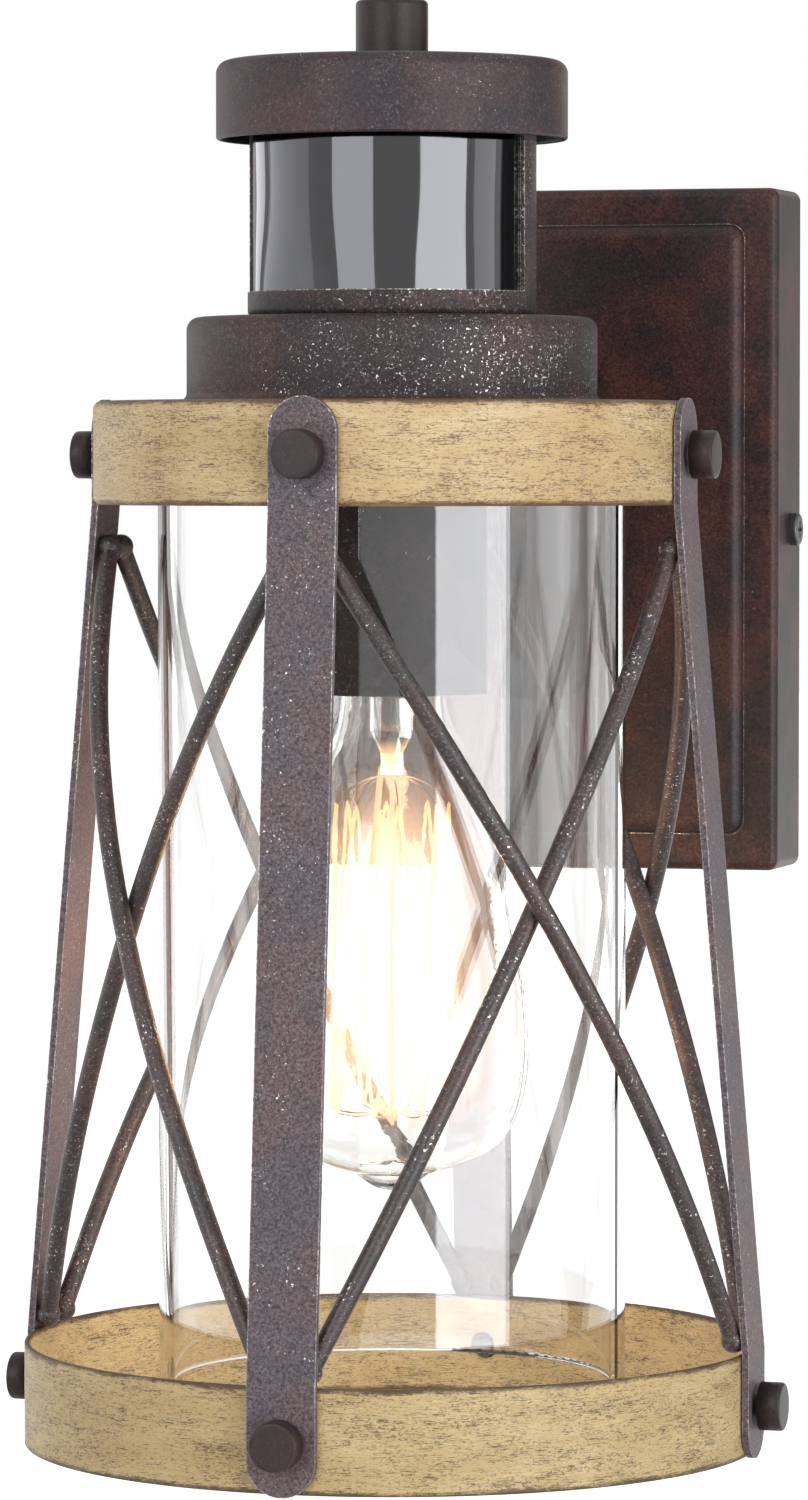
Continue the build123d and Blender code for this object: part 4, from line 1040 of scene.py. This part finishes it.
def hook_ring(level, root_rise, middle_rise, reach, offset):
    """One ring of hooks: each leaves the rod, bends and ends at the filament's ring."""
    start = point(rule, 0.0, hook_root, calc(rule, "ADD", level, root_rise))
    middle = point(rule, 0.0, reach * hook_bend, calc(rule, "ADD", level, middle_rise))
    end = point(rule, 0.0, reach, level)
    bend = {"Start": start, "Middle": middle, "End": end, "Resolution": 10}
    curve = add(rule, "GeometryNodeCurveQuadraticBezier", bend).outputs[0]
    hook = wire_mesh(rule, curve, hook_wire, 6)
    spots = add(rule, "GeometryNodePoints", {"Count": filament_loops, "Position": tuple(axis)})
    number = add(rule, "GeometryNodeInputIndex").outputs[0]
    turned = calc(rule, "MULTIPLY", calc(rule, "ADD", number, offset), -2 * pi / filament_loops)
    copies = {"Points": spots.outputs[0], "Instance": hook, "Rotation": point(rule, 0.0, 0.0, turned)}
    return add(rule, "GeometryNodeInstanceOnPoints", copies).outputs[0]


def straight(start, end, thickness):
    """A straight wire between two places."""
    line = add(rule, "GeometryNodeCurvePrimitiveLine", {"Start": start, "End": end}).outputs[0]
    return wire_mesh(rule, line, thickness, 10)


def lead(side):
    """One of the two leads, from beside the stem's end down into the filament."""
    top = point(rule, axis.x + side * 2.2 * mm, axis.y - 2 * mm, ins.outputs["Crown"])
    foot_level = calc(rule, "SUBTRACT", ins.outputs["Crown"], lead_length)
    foot = point(rule, axis.x + side * 3.6 * mm, axis.y - 4 * mm, foot_level)
    return straight(top, foot, lead_wire)


rod_top = point(rule, axis.x, axis.y, ins.outputs["Crown"])
rod_end = point(rule, axis.x, axis.y, ins.outputs["Foot"])
middle_rod = straight(rod_top, rod_end, rod_wire)
button_place = point(rule, axis.x, axis.y, calc(rule, "ADD", ins.outputs["Foot"], button_rise))
ball = {"Segments": 20, "Rings": 12, "Radius": button_radius}
button = add(rule, "GeometryNodeMeshUVSphere", ball).outputs[0]
button = add(rule, "GeometryNodeTransform", {"Geometry": button, "Translation": button_place}).outputs[0]
wires = add(rule, "GeometryNodeJoinGeometry")
for part in (
    hook_ring(ins.outputs["Top"], 6.6 * mm, 7.2 * mm, top_ring, 0.5),
    hook_ring(ins.outputs["Bottom"], 0.2 * mm, -2.0 * mm, bottom_ring, 0.0),
    middle_rod,
    button,
    lead(-1),
    lead(1),
):
    rule.links.new(part, wires.inputs[0])
close_rule(rule, outs, wires.outputs[0], ins.outputs["Material"])

hooks = carve(
    "hook_wires",
    rule,
    Top=filament_high.z - 3.4 * mm,
    Bottom=filament_low.z + 0.8 * mm,
    Crown=support_high.z,
    Foot=support_low.z,
    Material=finishes["support_wire"],
)

# %% [markdown]
# A cap nut is turned from bar: round, with a softened rim and an end that is barely domed. Its
# outline is a quarter of a superellipse, which is a box and a circle in one formula: the smaller
# the exponent, the squarer the corner. A flat grid is rolled up by that formula, its seam and
# poles are welded, and the nut is copied to the four straps.

# %% Cap nuts
squareness = 0.1         # the superellipse's exponent
nut_columns = 65
nut_rows = 28

rule, ins, outs = new_rule(
    "cap_nut_rule",
    {
        "Radius": "NodeSocketFloat",
        "Length": "NodeSocketFloat",
        "Seat": "NodeSocketFloat",
        "Level": "NodeSocketFloat",
        "Material": "NodeSocketMaterial",
    },
)
grid = {"Size X": 1.0, "Size Y": 1.0, "Vertices X": nut_columns, "Vertices Y": nut_rows}
sheet = add(rule, "GeometryNodeMeshGrid", grid).outputs[0]
here = add(rule, "ShaderNodeSeparateXYZ", {0: add(rule, "GeometryNodeInputPosition").outputs[0]})
around = calc(rule, "MULTIPLY", here.outputs["X"], 2 * pi)
row = calc(rule, "ADD", here.outputs["Y"], 0.5)
arc = stretch(rule, row, 1 / (nut_rows - 1), 1.0, 0.0, pi / 2)
width = calc(rule, "POWER", calc(rule, "MAXIMUM", calc(rule, "COSINE", arc), 0.0), squareness)
width = calc(rule, "MULTIPLY", width, calc(rule, "GREATER_THAN", row, 0.5 / (nut_rows - 1)))
width = calc(rule, "MULTIPLY", width, ins.outputs["Radius"])
rise = calc(rule, "POWER", calc(rule, "MAXIMUM", calc(rule, "SINE", arc), 0.0), squareness)
rise = calc(rule, "MULTIPLY", rise, ins.outputs["Length"])
rolled = point(
    rule,
    calc(rule, "MULTIPLY", width, calc(rule, "COSINE", around)),
    calc(rule, "MULTIPLY", rise, -1.0),
    calc(rule, "MULTIPLY", width, calc(rule, "SINE", around)),
)
nut = add(rule, "GeometryNodeSetPosition", {"Geometry": sheet, "Position": rolled}).outputs[0]
nut = add(rule, "GeometryNodeMergeByDistance", {"Geometry": nut, "Distance": 0.002 * mm}).outputs[0]
number = add(rule, "GeometryNodeInputIndex").outputs[0]
quarter = calc(rule, "MULTIPLY", number, pi / 2)
forward = calc(rule, "MULTIPLY", ins.outputs["Seat"], calc(rule, "COSINE", quarter))
seat = point(
    rule,
    calc(rule, "MULTIPLY_ADD", ins.outputs["Seat"], calc(rule, "SINE", quarter), axis.x),
    calc(rule, "SUBTRACT", axis.y, forward),
    ins.outputs["Level"],
)
spots = add(rule, "GeometryNodePoints", {"Count": 4, "Position": seat}).outputs[0]
copies = {"Points": spots, "Instance": nut, "Rotation": point(rule, 0.0, 0.0, quarter)}
ring_of_nuts = add(rule, "GeometryNodeInstanceOnPoints", copies).outputs[0]
close_rule(rule, outs, ring_of_nuts, ins.outputs["Material"])

nut_length = 6.5 * mm
cap_nuts = {}
for band in ("upper", "lower"):
    nuts_low, nuts_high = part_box(f"{band}_cap_nuts")
    cap_nuts[band] = carve(
        f"turned_nuts_{band}",
        rule,
        Radius=(nuts_high.z - nuts_low.z) / 2,
        Length=nut_length,
        Seat=(nuts_high.x - nuts_low.x) / 2 - nut_length,
        Level=(nuts_high.z + nuts_low.z) / 2,
        Material=finishes["bronze_turned"],
    )

# %% [markdown]
# The new pieces take the places of the plain solids and ride on the same bodies: the nuts on the
# lantern itself, the filament and its wires on the lamp.

# %% Put the new pieces in their places
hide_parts("bulb_filament")
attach(filament, "bulb")
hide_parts("bulb_supports")
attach(hooks, "bulb")
for band, nuts in cap_nuts.items():
    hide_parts(f"{band}_cap_nuts")
    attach(nuts, "lantern")
print("Pieces replaced: filament, hooks and eight cap nuts")

# %% [markdown]
# A small warm lamp in the middle of the bulb stands for the light that the filament throws on
# the cup above it and on the straps beside it.

# %% The bulb's own light
glow_power = 0.14
glow_radius = 12 * mm

glow_data = bpy.data.lights.new("filament_glow", "POINT")
glow_data.energy = glow_power
glow_data.color = (1.0, 0.58, 0.28)
glow_data.shadow_soft_size = glow_radius
glow = bpy.data.objects.new("filament_glow", glow_data)
glow.location = (axis.x, axis.y, (filament_low.z + filament_high.z) / 2)
bpy.context.scene.collection.objects.link(glow)

# %% [markdown]
# ## Dress the frame
#
# The record names a finish for each solid. Most are taken as they are. The bronze ones get the
# variant that suits the piece: the plate is darker, the straps are greyer, the rods are more
# flecked. Each band has its own tan, and the lamp's stem its glowing end.

# %% Give each solid its finish
variants = {
    "wall_plate": "bronze_plate",
    "arm": "bronze_plate",
    "cap": "bronze_cap",
    "sensor_drum": "bronze_roof",
    "roof_pan": "bronze_roof",
    "socket_cup": "bronze_cup_shaded",
    "bulb_stem": "stem_glass",
    "upper_band": "tan_upper",
    "lower_band": "tan_lower",
}
for name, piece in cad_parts.items():
    packed = piece.data.materials[0].name.split(".")[0]
    wanted = variants.get(name, packed)
    if name.startswith("strap_"):
        wanted = "bronze_strap"
    if name.startswith("rod_"):
        wanted = "bronze_rod"
    for index in range(len(piece.data.materials)):
        piece.data.materials[index] = finishes[wanted]
print("Solids dressed:", len(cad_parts))

# %% [markdown]
# ## Finish
#
# The colours are shown as they are, through the Standard view transform.

# %% Finish
bpy.context.scene.view_settings.view_transform = "Standard"
